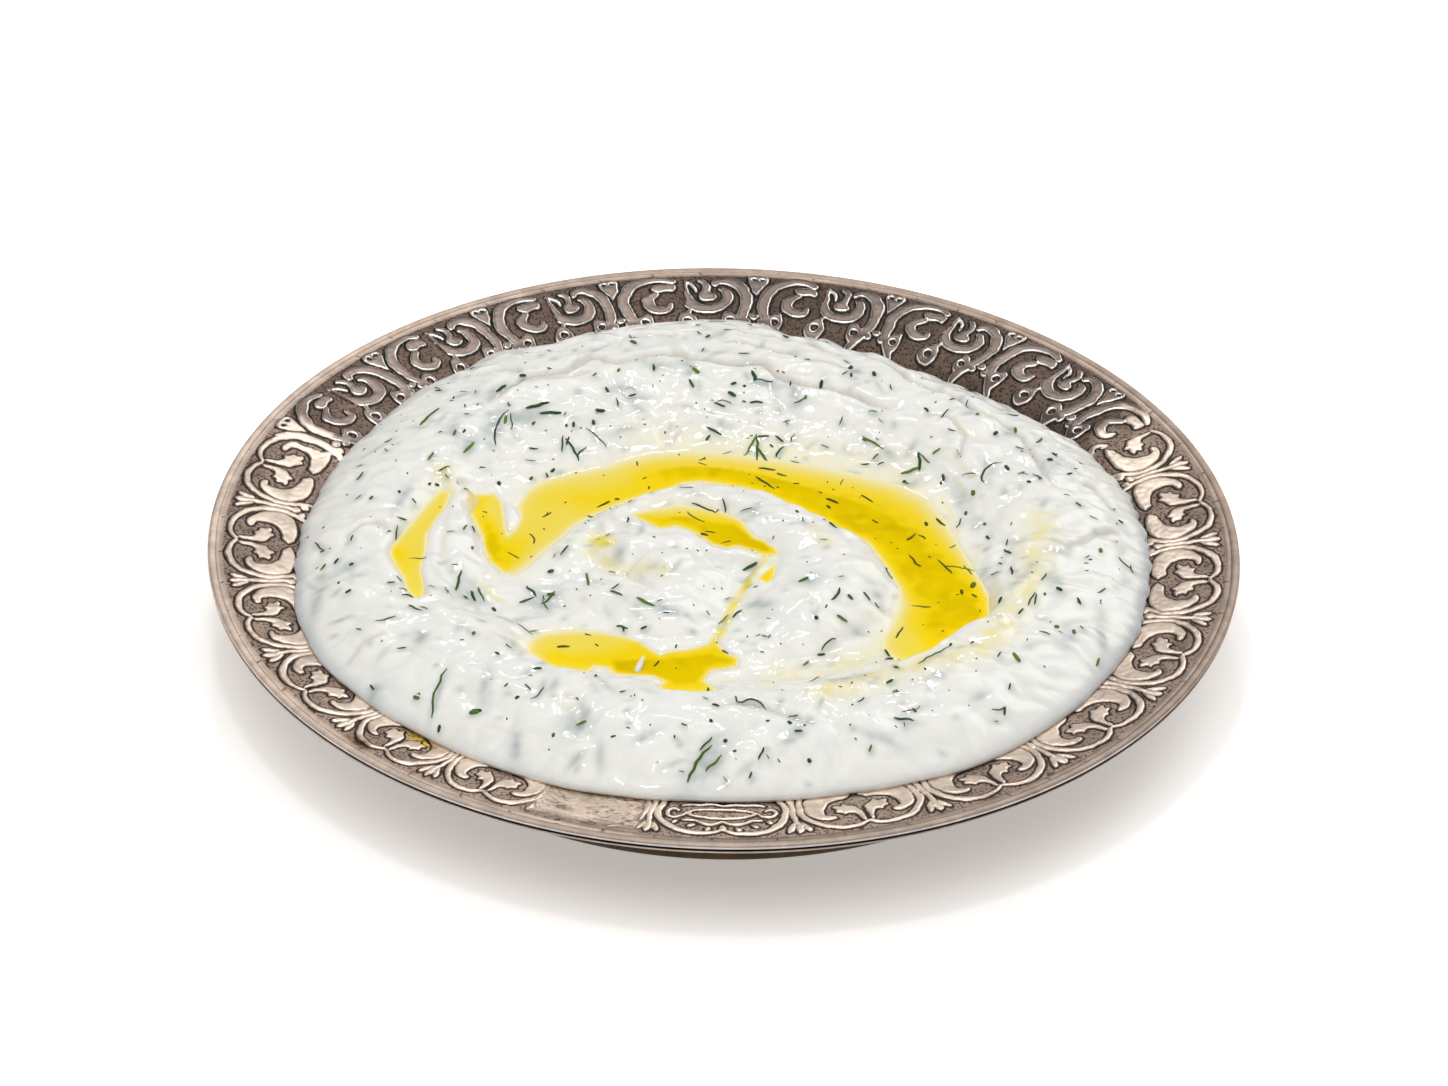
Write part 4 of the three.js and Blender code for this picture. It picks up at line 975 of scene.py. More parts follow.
for spot_x, spot_y, long, wide, heading in sunk_dill:
    blur = smudge(x - spot_x, y - spot_y, math.radians(heading), long, wide) * blotchy
    milk = blend_in(milk, sunk_green, 0.62 * blur)
# painted shade: a brownish line along each crease where one spoonful lies over the next
for strength, line in creases:
    distance, _, way, _ = along_line(x, y, line)
    shade = faded_ends(way, 8) * np.exp(-((distance / 0.55) ** 2))
    milk = blend_in(milk, crease_line_shade, 0.85 * strength * shade)
# the toe is painted blue-grey, most at the sides: its thin edge shows the metal under it, and at the
# sides it is also painted shade
compass = np.degrees(np.arctan2(x, y)) % 360
at_sides = np.maximum(np.exp(-(((compass - 97) / 34) ** 2)), np.exp(-(((compass - 263) / 34) ** 2)))
at_toe = ease(2.6, 0.3, toe_reach(x, y) - np.hypot(x, y))
milk = blend_in(milk, toe_grey, (0.08 + 0.5 * at_sides) * at_toe)
for _, _, shore in pools.values():
    distance, bank = shore_distance(x, y, shore)
    body, cover = oil_body(x, y, distance, bank)
    glow = 0.04 + 0.28 * ease(1.8, 6, bank)
    ashore = glow * np.exp(-np.maximum(distance, 0) / (0.4 + 0.22 * bank))
    wet = np.where(distance < 0, glow + 0.65 * cover, ashore)
    milk = blend_in(milk, blend_in(oily_cream, oily_yellow, body), wet)
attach(dip, "root")
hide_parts("haydari")

# a small peak that the spoon pulled up in the front pool, and the rim of a burst bubble
bpy.ops.object.select_all(action="DESELECT")
bpy.ops.mesh.primitive_uv_sphere_add(segments=20, ring_count=14, radius=1)
peak = bpy.context.object
peak.name = peak.data.name = "pulled_peak"
ball = places_of(peak) * MM
foot, top = np.array([-16, -47.8, 23.3]), np.array([-15.1, -45.3, 26])
up_peak = (ball[:, 2:] + 1) / 2
girth = 0.95 - 0.6 * up_peak
move_to(peak, foot + (top - foot) * up_peak + ball * girth * [1, 1, 0] + [0.5, 0, 0] * up_peak**2)

bubble_x, bubble_y = -19.3, 43.8
bpy.ops.object.select_all(action="DESELECT")
bpy.ops.mesh.primitive_torus_add(
    major_segments=36, minor_segments=10, major_radius=1.35, minor_radius=0.17
)
bubble = bpy.context.object
bubble.name = bubble.data.name = "burst_bubble"
loop = places_of(bubble) * MM + [bubble_x, bubble_y, 0.08]
loop[:, 2] += dip_height(loop[:, 0], loop[:, 1])
move_to(bubble, loop)
for small in (peak, bubble):
    only(small)
    bpy.ops.object.shade_smooth()
    paint(small, "milk", np.tile(linear(240, 240, 232), (len(small.data.vertices), 1)))
    small.data.materials.append(yoghurt)
    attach(small, "root")
    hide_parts("haydari")

# ------------------------------------------------------------------ the olive oil
# Golden olive oil lies glossy in the hollows that the spoon left. The dip shows through it, and that is
# in its colour here: pale where it is thin at its shore, and a strong yellow where it is deep.

thin_gold = linear(245, 221, 84)
full_gold = linear(248, 216, 20)
deep_gold = linear(234, 202, 0)
dark_gold = linear(206, 174, 0)
olive_gold = linear(190, 158, 0)
shore_white = linear(246, 243, 214)
OIL_STEP = 0.45  # mm between the points of the oil's face
OIL_ROOT = 0.9  # mm that the oil's underside reaches into the dip

olive_oil, nodes, links, shader = nodes_for("olive_oil", {
    "Roughness": 0.06, "IOR": 1.47, "Specular IOR Level": 0.1,
})
links.new(painted(nodes, "gold"), shader.inputs["Base Color"])

for name, (level, _, shore) in pools.items():
    outline = np.asarray(shore, float)
    low, high = outline[:, :2].min(0) - 1.6, outline[:, :2].max(0) + 1.6
    cells = np.ceil((high - low) / OIL_STEP).astype(int)
    bpy.ops.object.select_all(action="DESELECT")
    bpy.ops.mesh.primitive_grid_add(x_subdivisions=int(cells[0]), y_subdivisions=int(cells[1]), size=1)
    oil = bpy.context.object
    oil.name = oil.data.name = name + "_pool"
    spots = places_of(oil) * MM + 0.5
    x, y = (low + spots[:, :2] * (high - low)).T
    distance, _ = shore_distance(x, y, outline)
    deep = level - dip_height(x, y)
    ripple = 0.05 * drift(x / 6, y / 6, 51) + 0.03 * drift(x / 2.5, y / 2.5, 52)
    move_to(oil, np.column_stack([x, y, level + ripple * ease(0.3, 2.5, -distance)]))
    paint(oil, "deep", deep)

    # what lies ashore is cut off, and the rest goes down as a slab to the dip under it
    kept = (distance < 0.45) & (deep > -0.5)
    only(oil)
    bpy.ops.object.mode_set(mode="EDIT")
    bpy.ops.mesh.select_mode(type="VERT")
    bpy.ops.mesh.select_all(action="DESELECT")
    bpy.ops.object.mode_set(mode="OBJECT")
    oil.data.vertices.foreach_set("select", ~kept)
    bpy.ops.object.mode_set(mode="EDIT")
    bpy.ops.mesh.delete(type="VERT")
    bpy.ops.mesh.select_all(action="SELECT")
    bpy.ops.mesh.extrude_region_move(TRANSFORM_OT_translate={"value": (0, 0, -0.3 * MM)})
    bpy.ops.object.mode_set(mode="OBJECT")
    spots = places_of(oil)
    below = np.zeros(len(spots), bool)
    oil.data.vertices.foreach_get("select", below)
    depths = np.zeros(len(spots))
    oil.data.attributes["deep"].data.foreach_get("value", depths)
    spots[below, 2] = level - np.maximum(depths[below], 0) - OIL_ROOT
    move_to(oil, spots)
    bpy.ops.object.mode_set(mode="EDIT")
    bpy.ops.mesh.select_all(action="SELECT")
    bpy.ops.mesh.normals_make_consistent(inside=False)
    bpy.ops.object.mode_set(mode="OBJECT")
    bpy.ops.object.shade_smooth_by_angle(angle=math.radians(40))

    x, y = spots[:, 0], spots[:, 1]
    distance, bank = shore_distance(x, y, outline)
    body, cover = oil_body(x, y, distance, bank)
    in_depth = ease(0.8, 1, body)
    clouds = 0.35 * ease(0.3, 0.9, drift(x / 5, y / 4, 54))
    gold = blend_in(thin_gold, full_gold, ease(0.3, 0.8, body))
    gold = blend_in(gold, deep_gold, in_depth)
    gold = blend_in(gold, dark_gold, ease(0.9, 1, body) * (0.15 + 0.5 * drift(x / 11, y / 11, 53)))
    gold = blend_in(gold, olive_gold, clouds * in_depth)
    paint(oil, "gold", blend_in(shore_white, gold, 0.12 + 0.88 * cover))
    oil.data.materials.append(olive_oil)
    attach(oil, "root")
    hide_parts(name)

# ------------------------------------------------------------------ the dill
# Chopped dill is stirred through the dip: dark green threads half sunk in its skin or lying on the
# oil, fine flecks everywhere, and a few sprigs that still hang together.

VIEW_SLIDE = 1.48  # mm that a place seen from in front moves back for each mm that it lies lower
JOINTS, SIDES = 8, 6  # points along a thread and round it
dark_dill = linear(36, 74, 12)
fresh_dill = linear(96, 130, 30)
dull_dill = linear(56, 80, 58)
oiled_dill = linear(92, 88, 6)
dill_haze_and_shade = linear(152, 164, 158)

# The threads that stand out, by the level at which they are seen: x, y, heading in degrees, length,
# bend and thickness.
marked_threads = {
    28: [
        (-37.3, 37.2, 34, 5.4, 0, 0.85), (-34.8, 34.8, 12, 4.4, 0.1, 0.8), (-25, 36, 10, 2, 0.2, 0.9),
        (-44.8, 29.5, 80, 11, -0.9, 0.45), (-58.6, 32.8, 60, 7.5, 0, 0.6),
        (-53.4, 26.8, 85, 2.6, 0, 0.5), (-50.4, 21.8, 58, 4, 0, 0.6), (-44.8, 43.4, 50, 3, 0, 0.6),
        (-40.7, 48.1, 15, 1.4, 0, 0.7), (-30, 21.5, 115, 6.5, 0.5, 0.5), (-32.2, 23.8, 90, 4, 0, 0.35),
        (-31.2, 25, 80, 2, 0, 0.4), (-28.6, 21, 58, 2.6, 0, 0.4), (-37.6, 21.8, 15, 2.2, 0, 0.4),
        (-19, 61.2, 150, 1.4, 0, 0.9), (-4, 64, 70, 2, 0, 0.7), (-23.8, 43.5, 105, 1.8, 0, 0.6),
        (-21.6, 50.7, 80, 1, 0, 0.7), (-18.8, 41.6, 12, 1.6, 0, 0.7), (-14.7, 52, 95, 2.2, 0, 0.5),
        (-6.3, 51.2, 135, 1.8, 0, 0.9), (-7.1, 46.4, 108, 2.4, 0, 0.6), (-1.6, 39.3, 153, 3, 0, 0.5),
        (-2.3, 29.5, 143, 3.6, 0.1, 0.6), (1, 43, 137, 2, 0, 0.9), (5.8, 40.3, 0, 2.6, 0, 0.55),
        (3.4, 40.3, 5, 0.8, 0, 0.5), (5.3, 49.8, 100, 3.4, 0.9, 0.75), (8, 48, 5, 2.6, 0.3, 0.35),
        (1.2, 46.8, 20, 1.2, 0, 0.7), (3.4, 46, 90, 0.8, 0, 0.7), (-43.6, 31.8, 80, 1.8, 0, 0.6),
        (-38, 31, 60, 0.9, 0, 0.6), (-26.3, 31.7, 95, 1.2, 0, 0.7), (-31.6, 30.4, 90, 0.9, 0, 0.6),
        (-30.2, 30.6, 85, 1.2, 0, 0.6), (-3.6, 27.1, 70, 1.6, 0, 0.6), (-51.6, 27.3, 60, 1, 0, 0.5),
        (-25.4, 26.4, 132, 6.4, 0.2, 0.3), (4.8, 24.4, 70, 6.7, 0.1, 0.45),
        (6.1, 23.5, 92, 7, 0.1, 0.45), (7.2, 21.5, 115, 4.4, 0, 0.6), (7.3, 28.1, 5, 2.4, 0.3, 0.5),
        (10.5, 27.2, 138, 2, 0.3, 0.5), (10.5, 22.8, 65, 3.8, -0.7, 0.45), (9, 24.6, 140, 0.9, 0, 0.5),
        (28.8, 26.7, 132, 6, 0.1, 0.55), (38, 20.6, 95, 4.8, 0.1, 0.6), (36.4, 17, 25, 4.2, 0.1, 0.7),
        (38.9, 21.7, 130, 3.4, 0.1, 0.4), (41.3, 23.9, 35, 2, 0, 0.55), (42.6, 14.7, 98, 1.9, 0, 0.6),
        (42.2, 12.7, 80, 0.9, 0, 0.6), (51.3, 16.8, 62, 8.8, -2.2, 0.45), (55, 18.4, 110, 1.5, 0, 0.8),
        (53, 30.7, 60, 1.3, 0, 0.8), (57, 32, 100, 1, 0, 0.7), (49.5, 37.3, 80, 1.2, 0, 0.7),
        (39.4, 38.8, 115, 1.8, 0, 0.6), (61.4, 28.4, 57, 3.2, 0, 0.45), (63.5, 21.7, 20, 1.2, 0, 0.8),
        (64.5, 23.8, 10, 1, 0, 0.6), (67.3, 17, 45, 1.4, 0, 0.5), (24.4, 53.4, 60, 1, 0, 0.95),
        (29.1, 51.4, 98, 1.8, 0, 0.8), (24.6, 50.8, 90, 1.2, 0, 0.5), (18.6, 47.1, 70, 1.4, 0, 0.7),
        (48.4, 9.4, 90, 1.4, 0, 0.9), (59.2, 13.7, 0, 0.8, 0, 0.7), (35, 13, 20, 0.8, 0, 0.7),
        (11.5, 64.6, 140, 1.5, 0, 0.5), (44.3, 56, 100, 1, 0, 0.4), (15.5, 42.3, 80, 1, 0, 0.6),
    ],
    26: [
        (8.1, 19.4, 170, 3.2, 0, 0.5), (11.1, 17.5, 160, 2.4, 0, 0.45), (8, 14.4, 135, 5.6, 0.2, 0.5),
        (21, 8.7, 148, 3, 0, 0.6), (27.6, 9.7, 132, 3.6, 0, 0.45), (20.2, 6.5, 120, 1.2, 0, 0.6),
        (42, 2, 122, 3, -0.3, 0.6), (39.2, 1.2, 110, 1.2, 0, 0.7), (36.4, -3.2, 55, 3.2, 0.6, 0.55),
        (36.7, -11.4, 115, 5.2, -0.3, 0.45), (42.6, -13.1, 118, 5.4, 0, 0.4),
        (45.5, -13.6, 165, 6, 0.4, 0.3), (48, -19.5, 75, 1.8, 0, 1), (45.8, -21.8, 95, 1.8, 0, 0.6),
        (48.1, -23, 130, 1.6, 0, 0.45), (33.7, -36, 68, 3.8, 0.1, 0.4),
        (31.3, -42.7, 110, 2.8, 0, 0.5), (31.6, -44.7, 30, 2, 0, 0.6),
        (40, -43.1, 47, 8.5, 0.15, 0.35), (21.7, -23.6, 70, 4.4, 0.8, 0.55),
        (24.3, -24.5, 120, 1.4, 0, 0.7), (15.3, -19, 38, 2.6, 0, 0.7), (27.5, -24.2, 112, 2.6, 0, 0.5),
        (29.4, -27, 120, 1.6, 0, 0.35), (22.8, -31.8, 155, 2.2, 0.4, 0.7),
        (17.8, -31.6, 110, 0.9, 0, 0.8), (5, -15, 8, 2.8, 0, 0.8), (2.6, -31.2, 50, 3, -0.9, 0.45),
        (14, 4.4, 130, 1, 0, 0.5), (21, -0.1, 130, 2.4, 0, 0.5), (51, -3, 108, 1.7, 0, 0.6),
        (50.5, 1.5, 60, 0.7, 0, 0.7), (46.9, 5.2, 80, 1.1, 0, 0.6), (54.6, -7.8, 118, 2.6, -0.4, 0.55),
        (54.6, -4.6, 85, 2, 0, 0.35), (55.3, -14.2, 95, 3.2, 0.1, 0.5),
        (58.9, -23.4, 72, 5, -0.4, 0.35), (59.6, -23.8, 85, 3.4, 0.3, 0.35),
        (56.7, -28.1, 63, 2.2, 0, 0.45), (52.9, -24.4, 65, 1.4, 0, 0.5),
        (61.4, -22.1, 80, 0.9, 0, 0.6), (61.4, -16.4, 65, 2.4, 0, 0.4), (68, -24.1, 108, 2, 0, 0.5),
        (72.6, -6.8, 95, 1.2, 0, 0.8), (55.7, -43.4, 118, 2.4, 0, 0.9), (63.5, -33, 20, 0.9, 0, 0.8),
        (66.8, -34.5, 105, 1.4, 0, 0.7), (71.3, -44.5, 75, 2.2, 0, 0.5),
        (64.2, -20.2, 160, 1.3, 0, 0.8), (53.2, -61.5, 95, 1.5, 0, 0.5),
        (34.4, -64.4, 177, 4, 0.1, 0.55), (36.2, -61.4, 120, 1.1, 0, 0.6),
        (6, -59.8, 160, 6.4, 1.3, 0.4), (18.9, -43.9, 0, 1.5, 0, 0.7), (15.8, -47, 50, 2, 0, 0.5),
        (32.9, -47.5, 0, 0.8, 0, 0.7), (38.4, -47.8, 100, 0.8, 0, 0.5), (31.6, -52.2, 35, 1.6, 0, 0.6),
        (43.2, -39.8, 60, 0.8, 0, 0.5), (47.4, -38.7, 50, 1.2, 0, 0.4),
        (-50.7, -22.6, 82, 6, -0.2, 0.55), (-47.7, -26.6, 105, 4, 0, 0.6),
        (-46.2, -26, 108, 4.6, 0, 0.45), (-49.2, -27, 120, 1.6, 0, 0.45),
        (-36.6, -24.5, 122, 3.6, 0, 0.55), (-37.3, -27.5, 40, 3.7, 0.2, 0.55),
        (-32.9, -25.8, 0, 1.6, 0, 0.9), (-33.2, -26.7, 62, 4.6, 0.2, 0.45),
        (-33.2, -17.8, 45, 1.6, 0, 0.8), (-26, -20.2, 98, 4.6, 0.2, 0.5),
        (-30.8, -10.6, 68, 3.6, -0.2, 0.4), (-20.4, -24.6, 148, 2.6, 0, 0.6),
        (-14.6, -27.6, 144, 4.2, 0, 0.75), (-19, -36, 165, 2.3, 0, 0.5),
        (-14.9, -36.2, 20, 1.3, 0, 0.5), (-43.6, -31, 120, 1, 0, 0.9),
        (-46.9, -39.2, 85, 1.8, 0, 0.65), (-30, -43, 5, 2.4, 0, 0.6),
        (-37.5, -37.3, 130, 4.6, 0, 0.25), (-4, 5, 147, 5.6, 0.1, 0.45), (-5.8, 2, 135, 5, -0.6, 0.35),
        (-3.8, -4.2, 160, 1.5, 0, 0.6), (-50, -3.2, 70, 1.8, 0, 0.45),
        (-48.5, -3.7, 110, 1.5, 0, 0.45), (-62.4, -0.7, 18, 2.2, 0, 0.45),
        (-63.2, -5.7, 85, 3.5, 0.1, 0.35), (-68.6, 6.2, 65, 1.2, 0, 0.65),
        (-63.2, 8.5, 90, 0.8, 0, 0.6), (-57.5, 11.5, 70, 0.9, 0, 0.6), (-56, 11.2, 0, 0.8, 0, 0.7),
        (-44.2, 12.3, 100, 1.2, 0, 0.8), (-23.8, 5.6, 38, 3.6, 0, 0.45), (-21, 7.7, 10, 1, 0, 0.6),
        (-37, -6.6, 105, 3.6, 1, 0.4), (-40.6, -12.4, 140, 3.4, 0, 0.3),
        (-12.3, -48, 65, 2.2, 0, 0.45), (-2.5, -56.6, 80, 2.2, 0, 0.5), (0.8, -43.9, 140, 2, 0, 0.4),
        (-48.5, -10.3, 95, 0.9, 0, 0.6), (-60, -26.8, 5, 2.4, 0, 0.4), (-58, -31.4, 150, 4, 0.3, 0.4),
        (-42.3, -45.6, 140, 1.2, 0, 0.5), (-34.6, -50.4, 10, 1.8, 0, 0.6),
        (-71.3, 13.6, 65, 2.6, 0, 0.45), (-57.6, 21.5, 65, 2.6, 0, 0.5), (-38, 14.4, 70, 1.2, 0, 0.6),
        (-33.8, 17.3, 65, 1.4, 0, 0.7), (-23.5, -52.5, 90, 1.2, 0, 0.5), (-1, -61, 150, 1.4, 0, 0.5),
        (-38, -59.8, 50, 0.9, 0, 0.6), (-45.5, -64.5, 0, 2, 0, 0.8), (-75.6, -43, 82, 5.6, -0.1, 0.5),
        (-74.3, -16, 60, 1.4, 0, 0.6), (-71.3, -16.8, 0, 0.8, 0, 0.6), (-76.8, -18, 60, 1.5, 0, 0.5),
        (-71.5, -26, 10, 1.2, 0, 0.6), (-64, -35, 15, 4, 0.2, 0.35), (-73.5, -23.2, 80, 0.8, 0, 0.5),
        (-67, -57.5, 100, 1.4, 0, 0.5), (72.5, -20.6, 50, 2.6, 0, 0.4), (77, 3.5, 150, 1.2, 0, 0.5),
        (68.7, 9, 118, 1.9, 0, 0.55), (78.7, -13, 100, 2.4, 0, 0.35),
    ],
    24: [
        (-53.2, -55.6, 78, 11.5, -0.6, 0.45), (-46, -62.1, 8, 1.9, 0, 1), (-57, -58, 150, 1.4, 0, 0.9),
        (-25.8, -64.8, 0, 1.8, 0, 0.6), (-3.8, -76.3, 60, 9, -0.5, 0.6),
        (-1.1, -76.9, 50, 4.6, -0.2, 0.5), (-2.6, -70.5, 56, 4, 0, 0.4),
        (-17.3, -84, 50, 3.5, 0.5, 0.5), (7.7, -73.4, 72, 3.2, 0.1, 0.4),
        (16.6, -75.4, 110, 1.1, 0, 0.8), (1, -69.6, 60, 0.9, 0, 0.8), (-1.7, -63.3, 100, 0.8, 0, 0.7),
        (13, -63.3, 140, 0.9, 0, 0.7), (14.6, -65.8, 0, 1.5, 0, 0.5), (-0.9, -58.3, 155, 1.6, 0, 0.6),
        (-38.2, -57, 60, 0.9, 0, 0.7), (-62, -60.8, 60, 1, 0, 0.5), (-65.6, -55, 120, 1.5, 0, 0.5),
        (-34.2, -55.8, 60, 4.6, 0.4, 0.3), (-52.5, -68, 85, 1.2, 0, 0.6), (-19.8, -69, 20, 1, 0, 0.5),
        (-31, -69, 80, 1, 0, 0.6), (-8.4, -68.5, 90, 1, 0, 0.35), (-12, -82.6, 80, 4, 0.4, 0.3),
        (8.8, -62.8, 0, 0.8, 0, 0.5), (2.8, -72.8, 0, 0.7, 0, 0.6), (5.8, -80.6, 70, 1.2, 0, 0.4),
        (40, -76, 95, 1.3, 0, 0.5), (28, -71, 80, 1.5, 0, 0.4),
    ],
}
chance = np.random.default_rng(64)
threads = [
    (seen_x, seen_y, seen_level, math.radians(heading), length, bend, thick)
    for seen_level, group in marked_threads.items()
    for seen_x, seen_y, heading, length, bend, thick in group
]


def scattered(reach):
    """A place anywhere within reach of the dip's middle."""
    far, angle = reach * math.sqrt(chance.random()), chance.random() * 2 * math.pi
    return far * math.sin(angle), far * math.cos(angle)


# fine flecks, and then short threads, anywhere on the dip
for _ in range(350):
    spot, length, thick = scattered(81), 0.4 + 1.6 * chance.random() ** 3, 0.18 + 0.2 * chance.random()
    threads.append((*spot, 0, chance.random() * math.pi, length, chance.normal() * 0.4, thick))
for _ in range(80):
    threads.append((*scattered(80), 0, chance.random() * math.pi, 1.6 + 3 * chance.random() ** 2,
                    chance.normal() * 0.7, 0.24 + 0.14 * chance.random()))
threads = np.array(threads)


def standing_level(x, y):
    """Height of what lies on top: the dip's skin, or the oil where it stands over it."""
    level = dip_height(x, y)
    for pool_level, _, shore in pools.values():
        distance, _ = shore_distance(x, y, shore)
        level = np.where(distance < 0, np.maximum(level, pool_level), level)
    return level


# a marked thread moves along the line of sight until it lies on what stands there
middle_x, middle_y, seen_level = threads[:, 0], threads[:, 1].copy(), threads[:, 2]
for _ in range(5):
    level = standing_level(middle_x, middle_y)
    slid = threads[:, 1] + (seen_level - level) * VIEW_SLIDE
    middle_y = np.where(seen_level > 0, 0.5 * middle_y + 0.5 * slid, middle_y)

step = np.linspace(-0.5, 0.5, JOINTS)
heading, length, bend, thick = threads[:, 3:7].T
turn = heading[:, None] + bend[:, None] * (step[1:] + step[:-1]) / 2
run_x = np.column_stack([0 * heading, np.cumsum(np.cos(turn), 1)]) * length[:, None] / (JOINTS - 1)
run_y = np.column_stack([0 * heading, np.cumsum(np.sin(turn), 1)]) * length[:, None] / (JOINTS - 1)
x = middle_x[:, None] + run_x - run_x.mean(1)[:, None]
y = middle_y[:, None] + run_y - run_y.mean(1)[:, None]
wander = 0.12 * np.sqrt(length)[:, None]
x = x + wander * drift(x / 1.7, y / 1.7, 61)
y = y + wander * drift(x / 1.7, y / 1.7, 62)
held = (np.hypot(x, y) < toe_reach(x, y) - 1.2).all(1)
x, y, thick, length = x[held], y[held], thick[held], length[held]
tip = chance.normal(size=len(x)) * 0.1
z = standing_level(x.ravel(), y.ravel()).reshape(x.shape) + thick[:, None] * 0.1 + tip[:, None] * step * 2

# each thread is a thin flattened tube that tapers to its ends
points, faces, shades = [], [], []
for px, py, pz, width in zip(x, y, z, thick):
    line = np.column_stack([px, py, pz])
    tangent = np.gradient(line, axis=0)
    tangent /= np.linalg.norm(tangent, axis=1)[:, None]
    across = np.cross(tangent, [0, 0, 1])
    across /= np.linalg.norm(across, axis=1)[:, None]
    upward = np.cross(across, tangent)
    first, shade = len(points), chance.random()
    body = 1 - 0.55 * np.abs(step * 2) ** 4
    for k in range(JOINTS):
        for corner in range(SIDES):
            lean = 2 * math.pi * corner / SIDES
            outwards = across[k] * math.cos(lean) + 0.7 * upward[k] * math.sin(lean)
            points.append(line[k] + outwards * width / 2 * body[k])
            shades.append(shade)
        if k:
            for corner in range(SIDES):
                other = (corner + 1) % SIDES
                base, above = first + (k - 1) * SIDES, first + k * SIDES
                faces.append((base + corner, base + other, above + other, above + corner))
    faces.append(tuple(first + c for c in reversed(range(SIDES))))
    faces.append(tuple(first + (JOINTS - 1) * SIDES + c for c in range(SIDES)))

dill_mesh = bpy.data.meshes.new("dill_threads")
dill_mesh.from_pydata((np.array(points) * MM).tolist(), [], faces)
dill = bpy.data.objects.new("dill_threads", dill_mesh)
bpy.context.collection.objects.link(dill)
only(dill)
bpy.ops.object.mode_set(mode="EDIT")
bpy.ops.mesh.select_all(action="SELECT")
bpy.ops.mesh.normals_make_consistent(inside=False)
bpy.ops.object.mode_set(mode="OBJECT")
bpy.ops.object.shade_smooth_by_angle(angle=math.radians(60))
shades, spots = np.array(shades), places_of(dill)
green = blend_in(dark_dill, fresh_dill, ease(0.5, 1, shades))
green = blend_in(green, dull_dill, ease(0.3, 0.05, shades) * 0.8)
in_oil = np.zeros(len(spots), bool)
for _, _, shore in pools.values():
    distance, _ = shore_distance(spots[:, 0], spots[:, 1], shore)
    in_oil |= distance < 0
paint(dill, "green", blend_in(green, oiled_dill, in_oil * 0.4))

# the dip gets painted shade in soft grey-green round the longer threads, and over threads deeper in it
blurs = []
for px, py, long in zip(x, y, length):
    if long > 1.1:
        heading = math.atan2(py[-1] - py[0], px[-1] - px[0])
        blurs.append((px.mean() + 0.2, py.mean() - 0.5, heading, 0.5 * long + 0.5, 0.85))
for _ in range(320):
    blurs.append((*scattered(83), chance.random() * math.pi, 0.7 + 2.4 * chance.random() ** 2,
                  0.5 + 0.6 * chance.random()))
spots = places_of(dip)
glow = np.zeros(len(spots))
for blur_x, blur_y, heading, long, wide in blurs:
    dx, dy = spots[:, 0] - blur_x, spots[:, 1] - blur_y
    near_by = np.nonzero((np.abs(dx) < long * 2 + 2) & (np.abs(dy) < long * 2 + 2))[0]
    blur = smudge(dx[near_by], dy[near_by], heading, long, wide) * (0.35 + 0.5 * chance.random())
    glow[near_by] = np.maximum(glow[near_by], blur)
paint(dip, "milk", blend_in(milk, dill_haze_and_shade, glow * 0.72))

dill_green, nodes, links, shader = nodes_for("dill_green", {
    "Roughness": 0.5, "Specular IOR Level": 0.25, "Subsurface Weight": 0.1, "Subsurface Scale": 0.0004,
})
links.new(painted(nodes, "green"), shader.inputs["Base Color"])
dill.data.materials.append(dill_green)
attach(dill, "root")
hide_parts("haydari")

# ------------------------------------------------------------------ the stage
# A plain white floor. Soft light comes from above, from the back right and from the left, and three
# small bright windows give the glints. The camera has the photograph's viewing angle.

bpy.ops.object.select_all(action="DESELECT")
bpy.ops.mesh.primitive_plane_add(size=8, location=(0, 0, -0.0002))
ground = bpy.context.object
ground.name = "white_floor"
# the floor glows faintly with a warm light, which lightens its shade and tints it warm
white, _, _, _ = nodes_for("white_floor", {
    "Base Color": (0.96, 0.955, 0.95, 1), "Roughness": 0.9, "Specular IOR Level": 0.1,
    "Emission Color": (1, 0.95, 0.91, 1), "Emission Strength": 0.43,
})
ground.data.materials.append(white)

# Each lamp's name, place, the side of its square in metres, its watts and its colour.
lamps = [
    ("overhead_lamp", (0, -0.42, 1.25), 1.3, 12.2, (1, 0.995, 0.985)),
    ("back_lamp", (0.7, 1.0, 0.8), 0.8, 5.2, (1, 1, 1)),
    ("front_window", (-0.1, -0.2, 1.05), 0.08, 1.0, (1, 1, 1)),
    ("left_lamp", (-1.1, -0.1, 0.9), 0.9, 2.2, (1, 0.995, 0.985)),
    ("left_window", (-0.16, 0.78, 1.0), 0.1, 1.3, (1, 1, 1)),
    ("right_window", (0.05, 0.8, 1.0), 0.1, 1.3, (1, 1, 1)),
]
for name, at, size, power, colour in lamps:
    light = bpy.data.lights.new(name, "AREA")
    light.size = size
    light.energy = power
    light.color = colour
    lamp = bpy.data.objects.new(name, light)
    lamp.location = at
    lamp.rotation_mode = "QUATERNION"
    lamp.rotation_quaternion = (Vector((0, 0, 0.02)) - Vector(at)).to_track_quat("-Z", "Y")
    bpy.context.collection.objects.link(lamp)

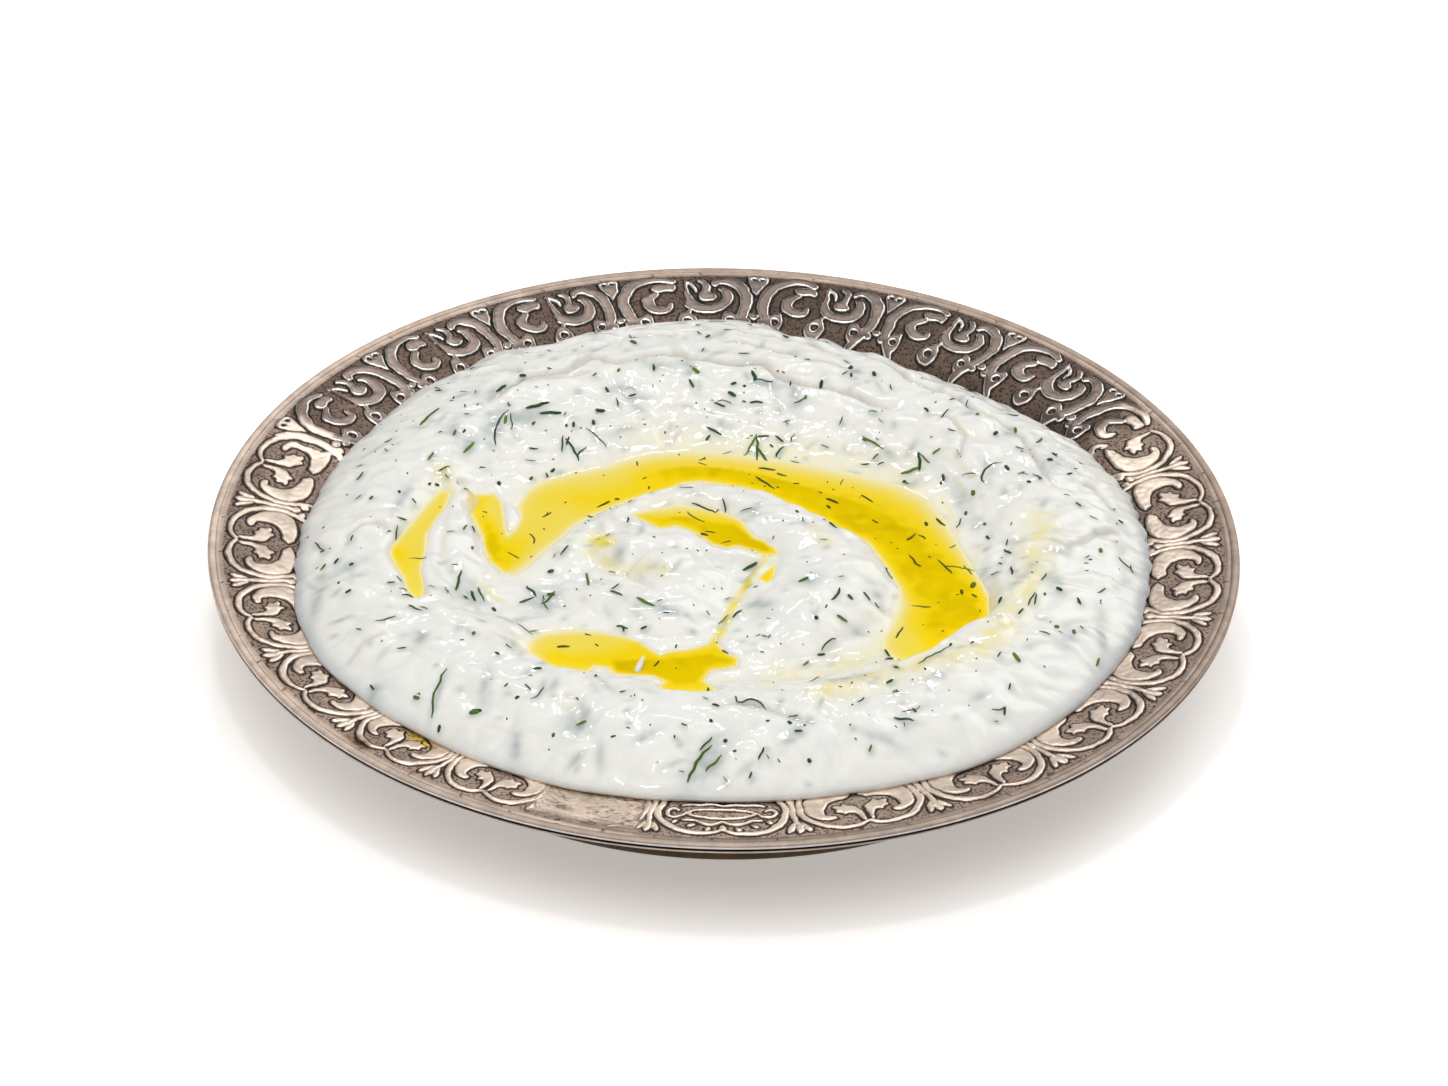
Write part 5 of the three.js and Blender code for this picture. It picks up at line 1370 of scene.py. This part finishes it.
world = bpy.data.worlds.new("studio")
bpy.context.scene.world = world
world.use_nodes = True
nodes, links = world.node_tree.nodes, world.node_tree.links
sky = nodes["Background"]
direction = nodes.new("ShaderNodeTexCoord")
split = nodes.new("ShaderNodeSeparateXYZ")
links.new(direction.outputs["Generated"], split.inputs["Vector"])
fade = nodes.new("ShaderNodeValToRGB")
grey_at = [(0, 0.95), (0.5, 0.95), (0.68, 0.55), (0.86, 0.5), (1, 0.8)]  # height of the direction, grey
while len(fade.color_ramp.elements) < len(grey_at):
    fade.color_ramp.elements.new(0.5)
for stop, (height, grey) in zip(fade.color_ramp.elements, grey_at):
    stop.position = height
    stop.color = (grey, grey, grey, 1)
links.new(split.outputs["Z"], fade.inputs["Fac"])
facing = as_share(nodes, links, split.outputs["Y"], -1, 1, 1.3432, 1.6928)  # front, back
links.new(times(nodes, links, fade.outputs["Color"], facing), sky.inputs["Strength"])

DISTANCE = 1.5  # m from the rim's middle
ELEVATION = math.radians(34.02)
ROLL = math.radians(1.2)
PICTURE = 1448  # pixels across the photograph
PIXELS = 7737  # focal length, in the same pixels
nod = math.atan2(540.3 - 543, PIXELS)  # the rim's middle is not quite in the photograph's middle row
target = np.array([0, 0, 0.022])
away = np.array([0, -math.cos(ELEVATION), math.sin(ELEVATION)])
ahead, right = -away, np.array([1.0, 0, 0])
up = np.cross(right, ahead)
ahead, up = ahead * math.cos(nod) + up * math.sin(nod), up * math.cos(nod) - ahead * math.sin(nod)
right, up = right * math.cos(ROLL) + up * math.sin(ROLL), up * math.cos(ROLL) - right * math.sin(ROLL)
lens = bpy.data.cameras.new("camera")
lens.sensor_width = 36
lens.lens = lens.sensor_width * PIXELS / PICTURE
camera = bpy.data.objects.new("camera", lens)
bpy.context.collection.objects.link(camera)
stand = np.column_stack([right, up, -ahead, target + away * DISTANCE])
camera.matrix_world = Matrix([*stand.tolist(), [0, 0, 0, 1]])
bpy.context.scene.camera = camera
bpy.context.scene.view_settings.view_transform = "Standard"
